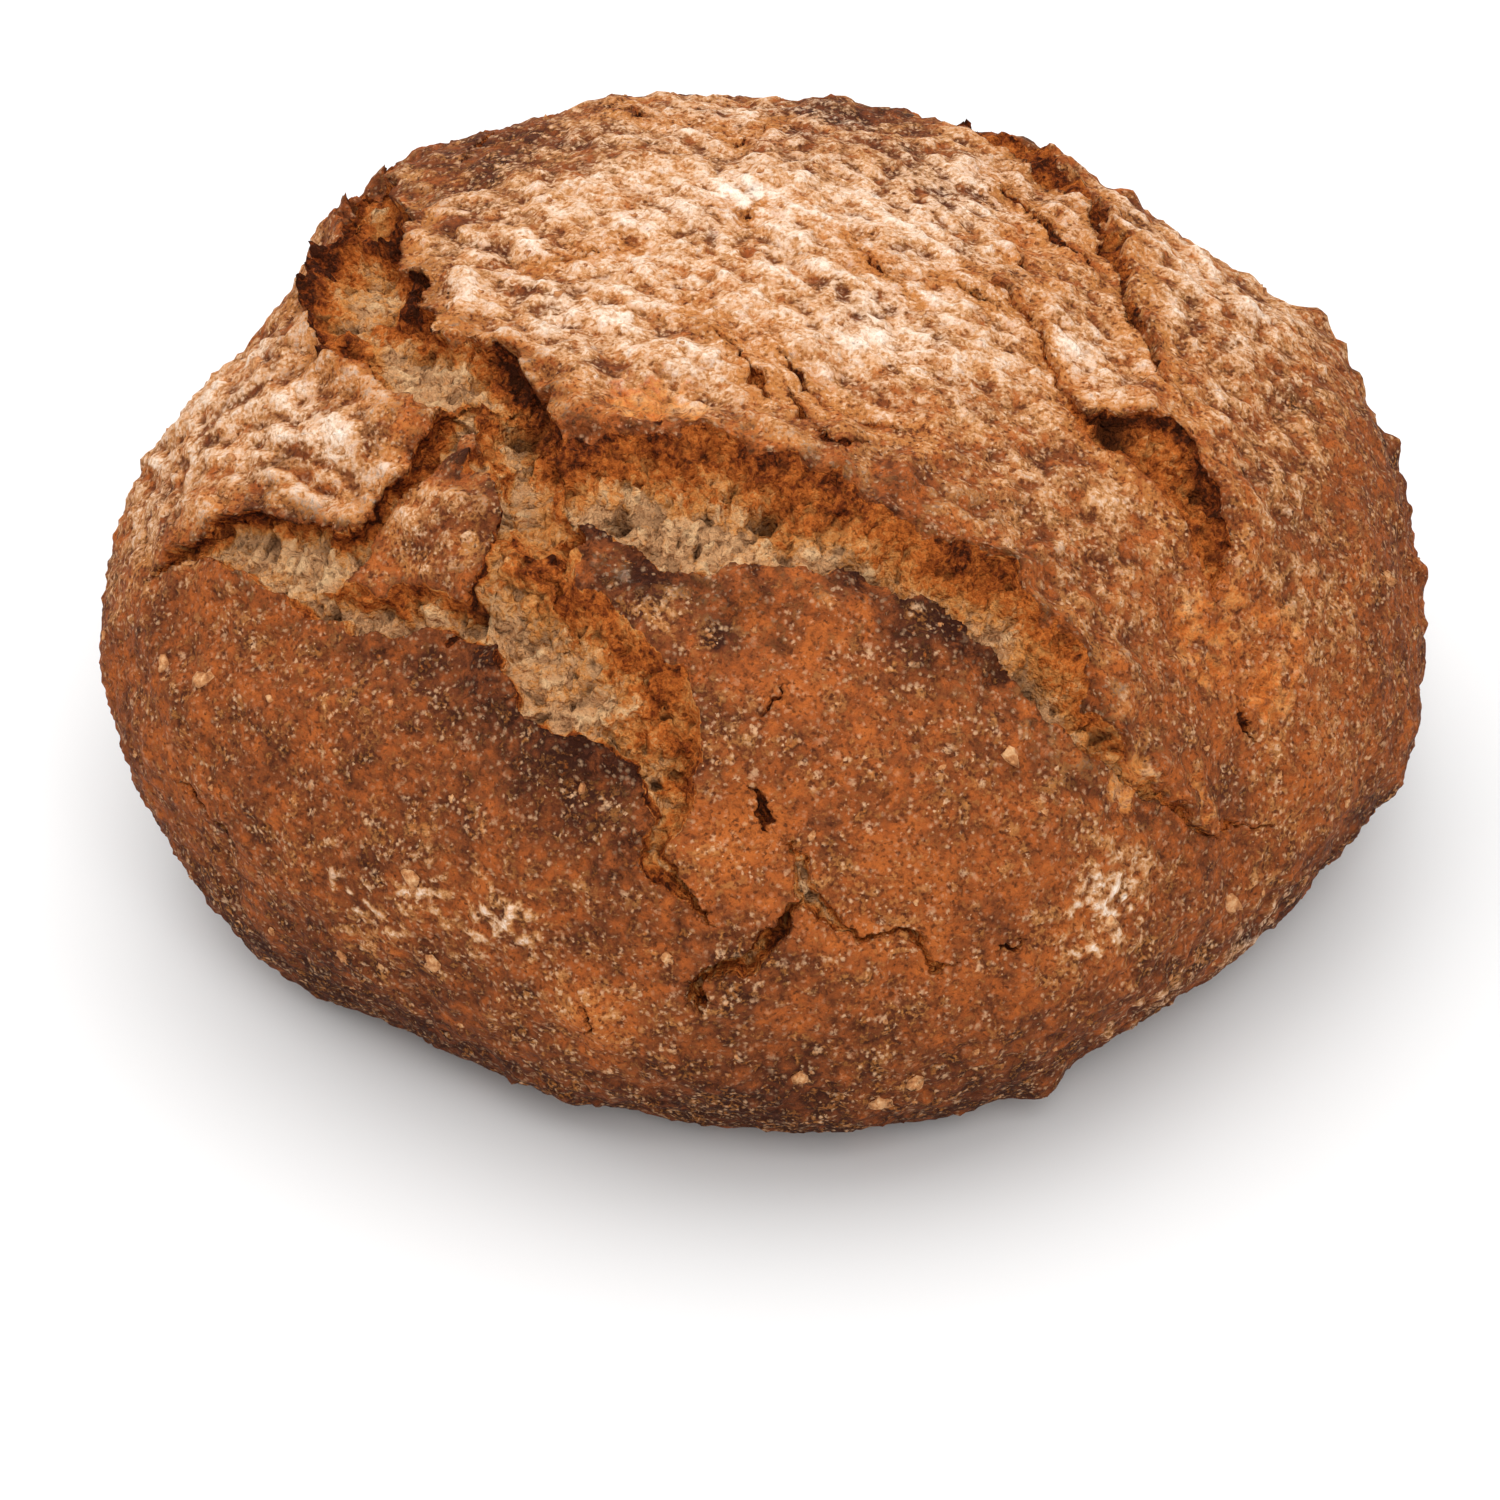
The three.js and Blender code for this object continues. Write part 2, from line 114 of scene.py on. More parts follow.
# A tear: its path runs through (azimuth, polar angle, width). Left and right are seen from outside.
# ragged: how much its edges wander
Tear = namedtuple("Tear", "path depth left right ragged", defaults=(1,))
TEARS = {
    "crown left": Tear(
        ((137, 51, 11), (150, 40, 16), (162, 34, 18), (184, 28, 19), (202, 25, 19), (216, 24, 19),
         (229, 24, 17), (240, 29, 16), (247, 37, 14)),
        9, Lip(3.5, 18, 0.16, 1.2, 0.5, 7, 0.72, 0.3), Lip(5, 18, 0.35, 1.2, 1.5, 6, 0.7, 0.3)),
    "front left": Tear(
        ((244, 33, 14), (248, 41, 16), (251, 46, 19), (256, 50, 19), (261, 53, 18), (264, 58, 13),
         (263, 64, 7), (262, 70, 3.5), (265, 75, 0)),
        7, Lip(1, 12, 0.4, 0, 0, 8, 0.62, 0.2), Lip(3.5, 10, 0.12, 1, 0, 1.5, 0.8, 0.75)),
    "front": Tear(
        ((244, 31, 18), (258, 30, 23), (270, 30, 23), (281, 33, 21), (290, 37, 18), (297, 41, 16),
         (300, 47, 15), (302, 54, 13), (304, 60, 9), (306, 67, 6), (309, 74, 3), (315, 84, 0)),
        7, Lip(5, 16, 0.45, 0.6, 1.5, 12, 0.74, 0.4), Lip(1.5, 10, 0.12, 0.6, 0, 1.5, 0.6, 0.8), 1.3),
    "left": Tear(
        ((203, 63, 0), (208, 54, 6), (213, 51, 13), (220, 48, 14), (224, 45, 11), (225, 40, 7),
         (228, 28, 10)),
        7, Lip(4, 14, 0.1, 2, 0, 4, 0.8, 0.5), Lip(2, 8, 0.35, 0.8, 0, 2, 0.6, 0.3)),
    "island": Tear(
        ((220, 51, 6), (230, 50, 9), (237, 49, 7), (249, 47, 8)),
        5, Lip(1, 6, 0.2, 0.6, 0, 3, 0.7, 0.3), Lip(2, 8, 0.2, 0.8, 0, 1.5, 0.6, 0.5)),
    "island side": Tear(
        ((241, 35, 0), (242, 38, 3), (243, 42, 4.5), (243, 46, 4), (241, 49, 2)),
        6, Lip(1, 5, 0.35, 0, 0, 3, 0.9, 0), Lip(2.5, 6, 0.1, 1, 0, 2.5, 1.1, 0.4)),
    "right": Tear(
        ((96, 50, 8), (74, 47, 11), (54, 41, 11), (40, 38.5, 9), (30, 37, 6), (22, 35.5, 4.5), (12, 34, 4),
         (1, 34, 3.4), (-9, 37, 2.6), (-15, 40, 1.6), (-19, 43, 0)),
        6, Lip(3.5, 14, 0.3, 0.8, 0.5, 6, 0.75, 0.2), Lip(2, 12, 0.12, 1.5, 0, 5, 0.9, 0.2)),
    "flap": Tear(
        ((0, 19, 0), (-9, 24, 1), (-19, 28, 1.4), (-27, 33, 2.4), (-28, 37, 7), (-26.5, 42, 12),
         (-28, 48, 10), (-31, 53, 7), (-35, 59, 0)),
        8, Lip(5.5, 12, 0.14, 1.4, 0.3, 5, 0.74, 0.1), Lip(0.3, 10, 0.8, 0, 0, 8, 0.5, 0), 0.4),
    "back": Tear(
        ((143, 46, 10), (128, 51, 13), (112, 52, 12), (92, 49, 9)),
        8, Lip(4, 16, 0.2, 1.5, 1, 6, 0.8, 0.3), Lip(2.5, 16, 0.2, 1, 0, 4, 0.7, 0.3)),
    "back left drop": Tear(
        ((122, 52, 10), (118, 60, 15), (121, 70, 12), (117, 86, 0)),
        7, Lip(3, 10, 0.12, 1.5, 0, 2, 0.8, 0.8), Lip(1, 10, 0.35, 0.5, 0, 7, 0.6, 0.3)),
    "back right drop": Tear(
        ((66, 45, 9), (61, 54, 14), (64, 66, 13), (59, 80, 0)),
        7, Lip(1, 10, 0.35, 0.5, 0, 7, 0.6, 0.3), Lip(3.5, 10, 0.12, 1.5, 0, 2, 0.8, 0.8)),
    "pit": Tear(
        ((274.4, 72.5, 1.5), (272.8, 74.5, 2), (271.8, 76.5, 3.6), (270, 78.8, 4), (268.8, 80.2, 3.6),
         (267, 81, 3.2), (265.2, 82.8, 2.4), (264.5, 84.8, 2.6), (264, 87, 0)),
        9, LOW_LIP, LOW_LIP),
}
# Open cracks and dark hairlines, through (azimuth, polar angle, width). Much of the darkness inside them is
# painted shade.
CRACKS = (
    ((273.8, 66, 0), (274.3, 68, 3.4), (274.5, 70.5, 4.2), (274.4, 72.5, 5), (275.5, 74, 4), (277, 75.6, 2.6),
     (278.5, 77, 1.3), (280, 78, 1.2), (282, 77.6, 1.2), (283.3, 79, 1.8), (284.6, 81.6, 1.2), (287, 83, 0)),
    ((263, 70, 2.4), (265, 73.5, 2), (266, 77, 0)),
    ((315, 81, 0.6), (319, 84, 0.8), (323, 87, 0)),
    ((170, 70, 0), (172, 76, 1.2), (168, 82, 0)),
    ((95, 70, 0), (90, 76, 1.2), (94, 84, 0)),
    ((35, 62, 0), (38, 70, 1.3), (34, 78, 0)),
)
HAIRLINES = (
    ((39, 30, 0), (30, 29.5, 1.6), (21, 29.5, 2.2), (13, 30.5, 1.6), (7, 32, 0)),
    ((16, 9, 0), (-5, 10.5, 0.9), (-19, 14.5, 0)),
    ((-4, 16, 0), (-7, 18.5, 0.7), (-10, 20.5, 0)),
    ((18, 24, 0), (9, 24.5, 0.8), (1, 25.5, 0)),
    ((289.5, 13, 0), (291.5, 15, 1.1), (293.8, 17.3, 1.2), (294.5, 20.5, 0)),
    ((354, 17.5, 0), (352, 20, 1), (348.5, 22.5, 0)),
    ((271, 59.5, 0), (272, 61.5, 1.5), (271.8, 63.2, 1.6), (271.8, 65.2, 0)),
    ((289, 83.2, 0), (290.8, 82.8, 1), (292.3, 82, 0)),
    ((80, 6.5, 0), (64, 5.2, 0.8), (63, 7.5, 0)),
    ((90, 23, 0), (84, 19, 1.3), (80, 26.5, 0)),
    ((186, 12, 0), (182, 9, 0.9), (170, 6, 0)),
    ((212, 81, 0), (218, 83, 1.4), (222, 86, 0)),
    ((322, 70, 0), (322, 73, 1.4), (323, 76, 0)),
    ((276, 48.5, 0), (275, 50.3, 0.6), (274, 52, 0.5), (273.5, 53.5, 0)),
    ((254, 86, 0), (256, 89, 0.9), (254, 92, 0)),
    ((140, 30, 0), (128, 34, 1.2), (122, 40, 0)),
    ((100, 24, 0), (108, 30, 1), (104, 37, 0)),
)
# Folds in the crust above the front tear
FOLDS = (
    ((262, 7, 0), (274, 9.8, 1), (279.8, 13.2, 1.6), (281.8, 17, 2.2), (283, 19.5, 0)),
    ((286.5, 17, 0), (288, 19.5, 1.8), (289.5, 22, 1.8), (290.5, 24.5, 0)),
    ((296, 20.5, 0), (298.5, 22.7, 1.4), (301, 25, 1.4), (304, 28, 0)),
    ((288, 22.8, 0), (290, 25.3, 1.6), (293.5, 26.4, 1.8), (297, 27, 0)),
)
CRACK_DEPTH = 7
# Shreds of crust that stand up in the tears, through (azimuth, polar angle, width), their height and toasting
Shred = namedtuple("Shred", "path height toast")
SHREDS = (
    Shred(((168, 39, 3), (164, 36, 3.4), (165, 32.5, 3.4), (168, 28, 2.6)), 7.5, 0.8),
    Shred(((168, 37.5, 3), (176, 34, 3.4), (183, 33, 3.4), (187, 33, 2)), 5, 0.4),
    Shred(((190, 32.5, 2.5), (196, 31.5, 3), (201, 30.5, 2)), 2.5, 0.6),
    Shred(((181, 23.5, 2), (186, 23.3, 3), (191, 23.5, 2)), 3, 0.8),
    Shred(((110, 50, 3), (116, 55, 4), (120, 62, 3)), 3, 0.6),
    Shred(((60, 47, 3), (62, 54, 4), (66, 60, 3)), 3, 0.6),
)

# Measures of the tears: the width with full depth and lips, the half widths below which there is no tear and
# from which edges wander fully, and how far the rim, the burning and the lean fade from a lip
SAMPLE_STEP = 1.2
FULL_TEAR = 13
LEAST_HALF = 0.1
WANDERING_HALF = 3.5
LEAST_WANDER = 0.4
SWELLING_SHARES = (0.15, 0.85)
FAR_FROM_TEARS = 45
NEAR_TEARS = 16
NEAR_SHREDS = 9
RIM_REACH = 9
CHAR_REACH = 7
LEAN_REACH = 3
LEAN_DEPTH = 2.2
UNDERCUT = 0.8
TOAST_FADE = 3.5
SHRED_WANDER = 0.4
OPEN_CUTS = (0.2, 3)
DEEP_CUT = 8

# Layers of noise: strength or height in millimetres, length in millimetres and which noise it is
LIP_WANDER = ((2, 16, 20), (1.3, 6, 21), (0.3, 2.6, 22), (0.12, 1.3, 23))
WIDTH_SWELLING = ((0.35, 8, 31), (0.35, 3.5, 32))
CRACK_ZIGZAG = ((0.9, 3.2, 33), (0.5, 1.6, 34))
CRUST_END = ((1.2, 3.5, 30),)
CRUMB_CRAGS = ((0.9, 10, 40),)
CRUMB_SPONGE = ((0.7, 4.5, 41), (0.7, 2.1, 42), (0.45, 1.1, 43))
CRUMB_STRANDS = ((0.15, 1, 44),)
CRUST_GRAIN = ((0.2, 1.4, 65),)
LOAF_SWELL = ((1.3, 46, 70), (0.55, 21, 71))
TOAST_BLOTCHES = ((0.1, 7, 80), (0.09, 3, 81))
TONE_BLOTCHES = ((0.16, 17, 82), (0.18, 6, 83), (0.12, 2.8, 88))
CHAR_BLOTCHES = ((0.5, 6, 84), (0.25, 2.5, 85))
SCUFF_EDGES = ((0.7, 5, 86), (0.5, 2, 87))
SCUFF_RELIEF = ((0.7, 3.4, 95), (0.5, 1.7, 96))
FLOUR_STREAKS = ((0.15, 3.4, 90), (0.2, 1.7, 91))
CLUMP_SPREAD = ((1, 1.9, 97),)

# Where the crust beside the tears isn't burnt
UNBURNT = patch_list((238, 39, 0.85, 11))

# Flour dustings on the crust
DUSTINGS = patch_list(
    (200, 4, 0.34, 46), (74, 8, 0.95, 5), (60, 10, 0.2, 20), (322, 15, 0.28, 11), (338, 20, 0.3, 26),
    (20, 14, 0.3, 18), (215, 14, 0.22, 13), (256, 16, 0.14, 18), (345, 31, 0.36, 10),
    (145, 14, 0.16, 26), (284, 14, 0.1, 24), (298, 24, 0.08, 22), (196, 41, 0.38, 26),
    (216, 38, 0.28, 14), (347, 47, 0.21, 26), (19, 45, 0.32, 28), (320, 43, 0.18, 22),
    (308, 58, 0.14, 18), (336, 63, 0.12, 14), (244, 82, 0.12, 10), (255, 89, 0.2, 7),
    (282, 52, 0.14, 4), (330, 78, 0.14, 18), (299, 83, 0.2, 9), (303, 80, 0.14, 5), (260, 41, 0.12, 9),
    (267, 41, 0.1, 10), (269, 52, 0.1, 10), (234, 41, 0.22, 10), (305, 109, 0.3, 10),
    (320, 108, 0.3, 12), (90, 28, 0.38, 26), (38, 28, 0.4, 22), (150, 62, 0.22, 24), (62, 66, 0.2, 26),
    (110, 74, 0.2, 22), (180, 62, 0.24, 20), (30, 70, 0.2, 22), (196, 62, 0.18, 16), (8, 52, 0.18, 20),
    (140, 96, 0.25, 16), (80, 98, 0.25, 18), (20, 100, 0.22, 16),
)
THIN_DUST = 0.06
FLOURED = (0.1, 0.4)
FLOUR_GAPS = (-2.5, 3)
# Where loose flour sits on the crust in small clumps
CLUMPS = patch_list(
    (234.5, 84.5, 1, 9), (241, 79, 0.9, 7), (248.5, 81, 1, 9), (300, 82, 1.1, 10),
)
CLUMP_FLOUR = 0.42
CLUMP_HEIGHT = 0.3
# Where the crust is darker (above 0) or more orange (below 0) than the rest
CRUST_TONES = patch_list(
    (268, 79, 0.4, 7), (269, 84, 0.2, 10), (228, 98, 0.15, 26), (268, 68, -0.45, 8),
    (281, 46, -0.3, 10), (283, 70, -0.3, 16), (74, 28, 0.42, 20), (34, 28, 0.38, 20),
    (128, 29, 0.5, 20), (269.5, 44.5, 1.2, 2), (326, 64, -0.3, 14), (257, 59, 0.36, 13),
    (250, 52, 0.3, 12), (272, 62, -0.3, 8), (238, 53, 0.2, 12), (293, 46, 0.6, 7), (240, 39, 0.3, 8),
    (118, 64, 0.4, 16), (58, 62, 0.4, 16), (262, 44, 0.4, 9), (331, 78, -0.25, 16),
    (255, 88.5, -0.5, 7),
)
# Painted shade low on the loaf: how much darker the crust is below the second height, in millimetres, fading
# to nothing at the first
LOW_PAINTED_SHADE = 0.55
LOW_SHADE_HEIGHTS = (48, 8)
LIP_TONE = -0.2
LIP_TONE_REACH = 4
# Where the crumb is more toasted (above 0) or paler (below 0) than the rest; in the pit and beside the
# island, partly painted shade
CRUMB_TONES = patch_list(
    (153, 44, 0.4, 9), (176, 33, 0.1, 8), (197, 27, 0.3, 7), (215, 24, -0.6, 9), (226, 21, 0.45, 7),
    (246, 41, 0.35, 6), (257, 34, -0.3, 12), (272, 34, -0.1, 10), (286, 39, -0.4, 9),
    (261, 56, 0.35, 6), (305, 69, -0.3, 7), (271, 77.5, 0.6, 3.5), (264.5, 85, 0.4, 3),
    (274.5, 71, -0.3, 4), (232, 49, -0.1, 10), (301, 50, -0.25, 9), (304, 58, -0.3, 8),
    (333, 44, 0.2, 9),
)
# Thin places where the crumb shows through the stretched crust
SCUFFS = patch_list(
    (323, 60, 0.6, 8), (329, 65, 0.5, 9), (321, 64, 0.5, 5), (312, 75, 0.7, 5), (326, 72, 0.6, 6),
    (314, 81, 0.5, 5), (306, 70, 0.7, 6), (64, 74, 0.7, 9), (118, 78, 0.7, 8), (256, 18.5, 0.75, 6),
    (264, 20, 0.75, 5.5), (259, 21.5, 0.6, 4),
)
THIN_CRUST_TOAST = 0.3
SCUFFED = 0.3
SCUFF_DEPTH = 0.4
# The way the rising dough stretched the crust, so its wrinkles run along it
STRETCH_WAY = (0.75, -0.66, 0)
STRETCH = 3

# Longest edges of the mesh in millimetres, on open crust, on scuffed crust, in a tear and in a narrow crack,
# and the band at a lip that counts as tear
CRUST_EDGE = 1.5
SCUFF_EDGE = 0.8
TEAR_EDGE = 0.66
CRACK_EDGE = 0.45
NARROW_HALF = 1.3
LIP_BAND = 0.8
# Splits of the first net's edges, rounds of refining and how dense the net is under the base
START_SPLITS = 47
REFINEMENTS = 3
BASE_DENSITY = 0.06

# Bran flakes, as fused to the solid, and smaller bran bits
FLAKE_LENGTH = 5
FRONT_FLAKES = ((204, 45), (216, 66), (297, 55.5), (276, 79), (269, 84), (272, 101), (282, 104), (279, 109),
                (300, 84), (240, 79), (240, 89))
FLAKE_COUNT = 22
FLAKE_SIDES = 9
FLAKE_POLARS = (24, 104)
FLAKE_CLEAR = 4
FLAKE_SHADE = 0.48
BIT_LENGTH = 1.9
BIT_COUNT = 260
BIT_POLARS = (6, 112)
BIT_SHADE = 0.55
GOLDEN_ANGLE = 137.508

# Camera: the photograph looks down on the loaf from the front
CAMERA_PLACE = (0, -647.2, 515.2)
CAMERA_AIM = (-4.4, -17.1, 21.5)
LENS = 105.6
SENSOR_WIDTH = 36
NEAREST_SEEN = 0.01

# Floor and lights: places in millimetres, sizes in metres and powers in watts
FLOOR_REACH = 6
FLOOR_COLOUR = (0.8, 0.8, 0.8, 1)
FLOOR_ROUGHNESS = 0.9
SKY_STRENGTH = 0.65
LIGHT_AIM = (0, 0, 50)
KEY_LIGHT = {"place": (-150, 260, 950), "size": 2, "power": 15.5}
FILL_LIGHT = {"place": (150, -900, 900), "size": 0.6, "power": 6}


# Noise

CORNERS = np.array(list(product((0, 1), repeat=3)))
DIAGONALS = list(product((-1, 1), repeat=2))
EDGE_DIRECTIONS = np.vstack([np.insert(DIAGONALS, axis, 0, axis=1) for axis in (2, 1, 0)])
# Large primes and bit shifts that scramble whole numbers
SEED_FACTOR = 7919
AXIS_FACTORS = (73856093, 19349663, 83492791)
MIXING_STEPS = ((16, 0x85EBCA6B), (13, 0xC2B2AE35), (16, 0x27D4EB2F))


def cell_draw(cells, seed):
    """A random number from 0 to 1 for each whole-number cell."""
    mixed = np.uint32(seed * SEED_FACTOR)
    for axis, factor in enumerate(AXIS_FACTORS):
        mixed = mixed ^ cells[..., axis].astype(np.uint32) * np.uint32(factor)
    for shift, factor in MIXING_STEPS:
        mixed = (mixed ^ (mixed >> np.uint32(shift))) * np.uint32(factor)
    return (mixed ^ (mixed >> np.uint32(15))).astype(float) / 2**32


def noise(points, length, variant):
    """Smooth noise, between about -1 and 1, that changes over the given length."""
    scaled = points / length
    cells = np.floor(scaled)
    inside = scaled - cells
    cells = cells.astype(np.int64)
    fade = inside**3 * (inside * (inside * 6 - 15) + 10)
    total = np.zeros(len(points))
    for corner in CORNERS:
        draw = cell_draw(cells + corner, SEED + variant)
        gradients = EDGE_DIRECTIONS[(draw * len(EDGE_DIRECTIONS)).astype(int)]
        weight = np.where(corner == 1, fade, 1 - fade).prod(axis=1)
        total += weight * (gradients * (inside - corner)).sum(axis=1)
    return 2 * total


def noise_vector(points, length, variant):
    """Smooth noise along each axis."""
    return np.stack([noise(points, length, variant + axis) for axis in range(3)], axis=1)


def layered(points, layers):
    """Layers of noise added up."""
    return sum(height * noise(points, length, variant) for height, length, variant in layers)


def nearest_grain(points, size, variant):
    """The distance to the nearest of scattered grains, in grain sizes, and that grain's random number."""
    scaled = points / size
    cells = np.floor(scaled).astype(np.int64)
    nearest = np.full(len(points), 9.0)
    draw = np.zeros(len(points))
    for step in product((-1, 0, 1), repeat=3):
        near = cells + step
        grain = near + np.stack([cell_draw(near, SEED + variant + axis) for axis in range(3)], axis=1)
        distance = np.linalg.norm(scaled - grain, axis=1)
        closer = distance < nearest
        nearest = np.where(closer, distance, nearest)
        draw = np.where(closer, cell_draw(near, SEED + variant + 3), draw)
    return nearest, draw


def smooth_step(value, low, high):
    """From 0 at a low value to 1 at a high one, level at both."""
    share = np.clip((value - low) / (high - low), 0, 1)
    return share * share * (3 - 2 * share)


def unit(vectors):
    """Vectors shortened or stretched to a length of 1."""
    return vectors / np.linalg.norm(vectors, axis=-1, keepdims=True)


# The dough before it tore

def dough(azimuth, polar):
    """Points of the untorn dough, from angles in radians."""
    waves = 1 + sum(share * np.cos(count * (azimuth - math.radians(peak)))
                    for count, share, peak in GIRTH_WAVES)
    across = np.maximum(np.sin(polar), 0)
    rise = np.cos(polar)
    upper = rise > 0
    radius = GIRTH_RADIUS * waves * across ** np.where(upper, DOME_FULLNESS[0], FOOT_FULLNESS[0])
    share = np.abs(rise) ** np.where(upper, DOME_FULLNESS[1], FOOT_FULLNESS[1])
    lean = np.where(upper, share, 0)
    height = GIRTH_HEIGHT + share * np.where(upper, CROWN_HEIGHT - GIRTH_HEIGHT, -BASE_DROP)
    return np.stack([radius * np.cos(azimuth) + CROWN_LEAN[0] * lean,
                     radius * np.sin(azimuth) + CROWN_LEAN[1] * lean,
                     np.maximum(height, 0)], axis=-1)


def dough_normal(azimuth, polar):
    """The dough's outward direction, from its slope both ways."""
    step = 0.01
    along = dough(azimuth + step, polar) - dough(azimuth - step, polar)
    down = dough(azimuth, np.minimum(polar + step, math.pi)) - dough(azimuth, np.maximum(polar - step, 0))
    normal = np.cross(down, along)
    length = np.linalg.norm(normal, axis=-1, keepdims=True)
    straight = np.sign(np.cos(polar))[..., None] * (0, 0, 1)
    return np.where(length > 1e-6, normal / np.maximum(length, 1e-6), straight)


def dough_at(azimuth, polar):
    """One point of the dough, from angles in degrees."""
    return dough(np.radians(float(azimuth)), np.radians(float(polar)))


def fading(points, patch):
    """How far a patch fades from its middle, where it is 1."""
    gap = np.linalg.norm(points - dough_at(patch.azimuth, patch.polar), axis=1)
    return np.exp(-((gap / patch.reach) ** 2))


def summed(points, patches):
    """The strengths of all patches added up."""
    return sum(patch.strength * fading(points, patch) for patch in patches)


def coverage(points, patches):
    """How far overlapping patches cover each point, from 0 to 1."""
    bare = np.ones(len(points))
    for patch in patches:
        bare *= 1 - patch.strength * fading(points, patch)
    return 1 - bare


# Tears

def smooth_path(knots, steps=24):
    """Points on a smooth curve through the knots."""
    knots = np.asarray(knots, float)
    padded = np.vstack([2 * knots[0] - knots[1], knots, 2 * knots[-1] - knots[-2]])
    pieces = []
    for i in range(len(knots) - 1):
        a, b, c, d = padded[i:i + 4]
        t = np.linspace(0, 1, steps, endpoint=False)[:, None]
        pieces.append(b + 0.5 * t * (c - a + t * (2 * a - 5 * b + 4 * c - d + t * (3 * (b - c) + d - a))))
    return np.vstack(pieces + [knots[-1:]])


Trace = namedtuple("Trace", "tear places along left half run")


def trace_tear(tear):
    """Even samples along a tear: places, directions along and to the left, half widths, distances run."""
    path = smooth_path(tear.path)
    places = dough(np.radians(path[:, 0]), np.radians(path[:, 1]))
    run = np.concatenate([[0], np.cumsum(np.linalg.norm(np.diff(places, axis=0), axis=1))])
    wanted = np.linspace(0, run[-1], int(run[-1] / SAMPLE_STEP) + 2)
    path = np.stack([np.interp(wanted, run, path[:, axis]) for axis in range(3)], axis=1)
    azimuth, polar = np.radians(path[:, 0]), np.radians(path[:, 1])
    places = dough(azimuth, polar)
    along = unit(np.gradient(places, axis=0))
    left = unit(np.cross(dough_normal(azimuth, polar), along))
    return Trace(tear, places, along, left, np.maximum(path[:, 2], 0) / 2, wanted)


ALL_TEARS = list(TEARS.values())
for paths, lip in ((CRACKS, LOW_LIP), (HAIRLINES, HAIR_LIP), (FOLDS, FOLD_LIP)):
    ALL_TEARS += [Tear(path, CRACK_DEPTH, lip, lip) for path in paths]
TRACES = [trace_tear(tear) for tear in ALL_TEARS]
SHRED_TRACES = [trace_tear(shred) for shred in SHREDS]


def across_tear(trace, points, margin):
    """For the points within a margin of a tear: their rows, nearest samples and distances to its left."""
    low = trace.places.min(axis=0) - margin
    high = trace.places.max(axis=0) + margin
    rows = np.nonzero(((points > low) & (points < high)).all(axis=1))[0]
    nearest = np.empty(len(rows), int)
    chunk = 20000
    for start in range(0, len(rows), chunk):
        some = points[rows[start:start + chunk]]
        closeness = some @ trace.places.T - 0.5 * (trace.places ** 2).sum(axis=1)
        nearest[start:start + chunk] = closeness.argmax(axis=1)
    offset = points[rows] - trace.places[nearest]
    side = (offset * trace.left[nearest]).sum(axis=1)
    along = np.abs((offset * trace.along[nearest]).sum(axis=1))
    past = np.maximum(along - SAMPLE_STEP, 0)
    return rows, nearest, np.where(side < 0, -1, 1) * np.hypot(side, past)


def edge_noises(points):
    """How far wide tears wander, narrow ones zigzag and both swell, and how far the crust's end strays."""
    layers = {"wander": LIP_WANDER, "zigzag": CRACK_ZIGZAG, "swelling": WIDTH_SWELLING, "end": CRUST_END}
    return {name: layered(points, layer) for name, layer in layers.items()}


def uneven_tear(trace, points, noises, margin):
    """across_tear with half widths, for a tear that swells and wanders, or zigzags where it is narrow."""
    rows, nearest, offset = across_tear(trace, points, margin)
    half = trace.half[nearest]
    narrow = np.clip(NARROW_HALF / np.maximum(half, LEAST_HALF), *SWELLING_SHARES)
    half = half * (1 + narrow * noises["swelling"][rows])
    share = np.clip(half / WANDERING_HALF, 0, 1)
    wander = trace.tear.ragged * noises["wander"][rows]
    offset = offset + np.maximum(share, LEAST_WANDER) * wander + (1 - share) * noises["zigzag"][rows]
    return rows, nearest, offset, half


# The net of the mesh

def even_net(splits):
    """An icosahedron's faces cut into even triangles, pushed out to a sphere."""
    shape = bmesh.new()
    bmesh.ops.create_icosphere(shape, subdivisions=1, radius=1)
    corners = np.array([v.co[:] for v in shape.verts])
    faces = [[v.index for v in face.verts] for face in shape.faces]
    shape.free()
    grid = [(i, j) for i in range(splits + 1) for j in range(splits + 1 - i)]
    row = {place: n for n, place in enumerate(grid)}
    small = [(row[i, j], row[i + 1, j], row[i, j + 1]) for i, j in grid if i + j < splits]
    small += [(row[i + 1, j], row[i + 1, j + 1], row[i, j + 1]) for i, j in grid if i + j < splits - 1]
    shares = np.array([(splits - i - j, i, j) for i, j in grid]) / splits
    points = unit(np.vstack([shares @ corners[face] for face in faces]))
    triangles = np.vstack([np.array(small) + n * len(grid) for n in range(len(faces))])
    _, first, merged = np.unique(np.round(points, 5), axis=0, return_index=True, return_inverse=True)
    return points[first], merged.reshape(-1)[triangles]


def ring_table():
    """Polar angles that spread an even sphere's rings evenly over the dough, with few under the base."""
    polar = np.linspace(0, math.pi, 600)
    ring = dough(np.zeros_like(polar), polar)
    step = np.linalg.norm(np.diff(ring, axis=0), axis=1)
    around = np.hypot(ring[1:, 0] + ring[:-1, 0], ring[1:, 1] + ring[:-1, 1])
    density = np.where(ring[1:, 2] > 0, 1, BASE_DENSITY)
    area = np.concatenate([[0], np.cumsum(step * around * density)])
    return area / area[-1], polar


RING_SHARES, RING_POLARS = ring_table()


def angles_of(directions):
    """The azimuth and polar angle on the dough for directions from the middle of the even net."""
    azimuth = np.arctan2(directions[:, 1], directions[:, 0])
    return azimuth, np.interp((1 - directions[:, 2]) / 2, RING_SHARES, RING_POLARS)


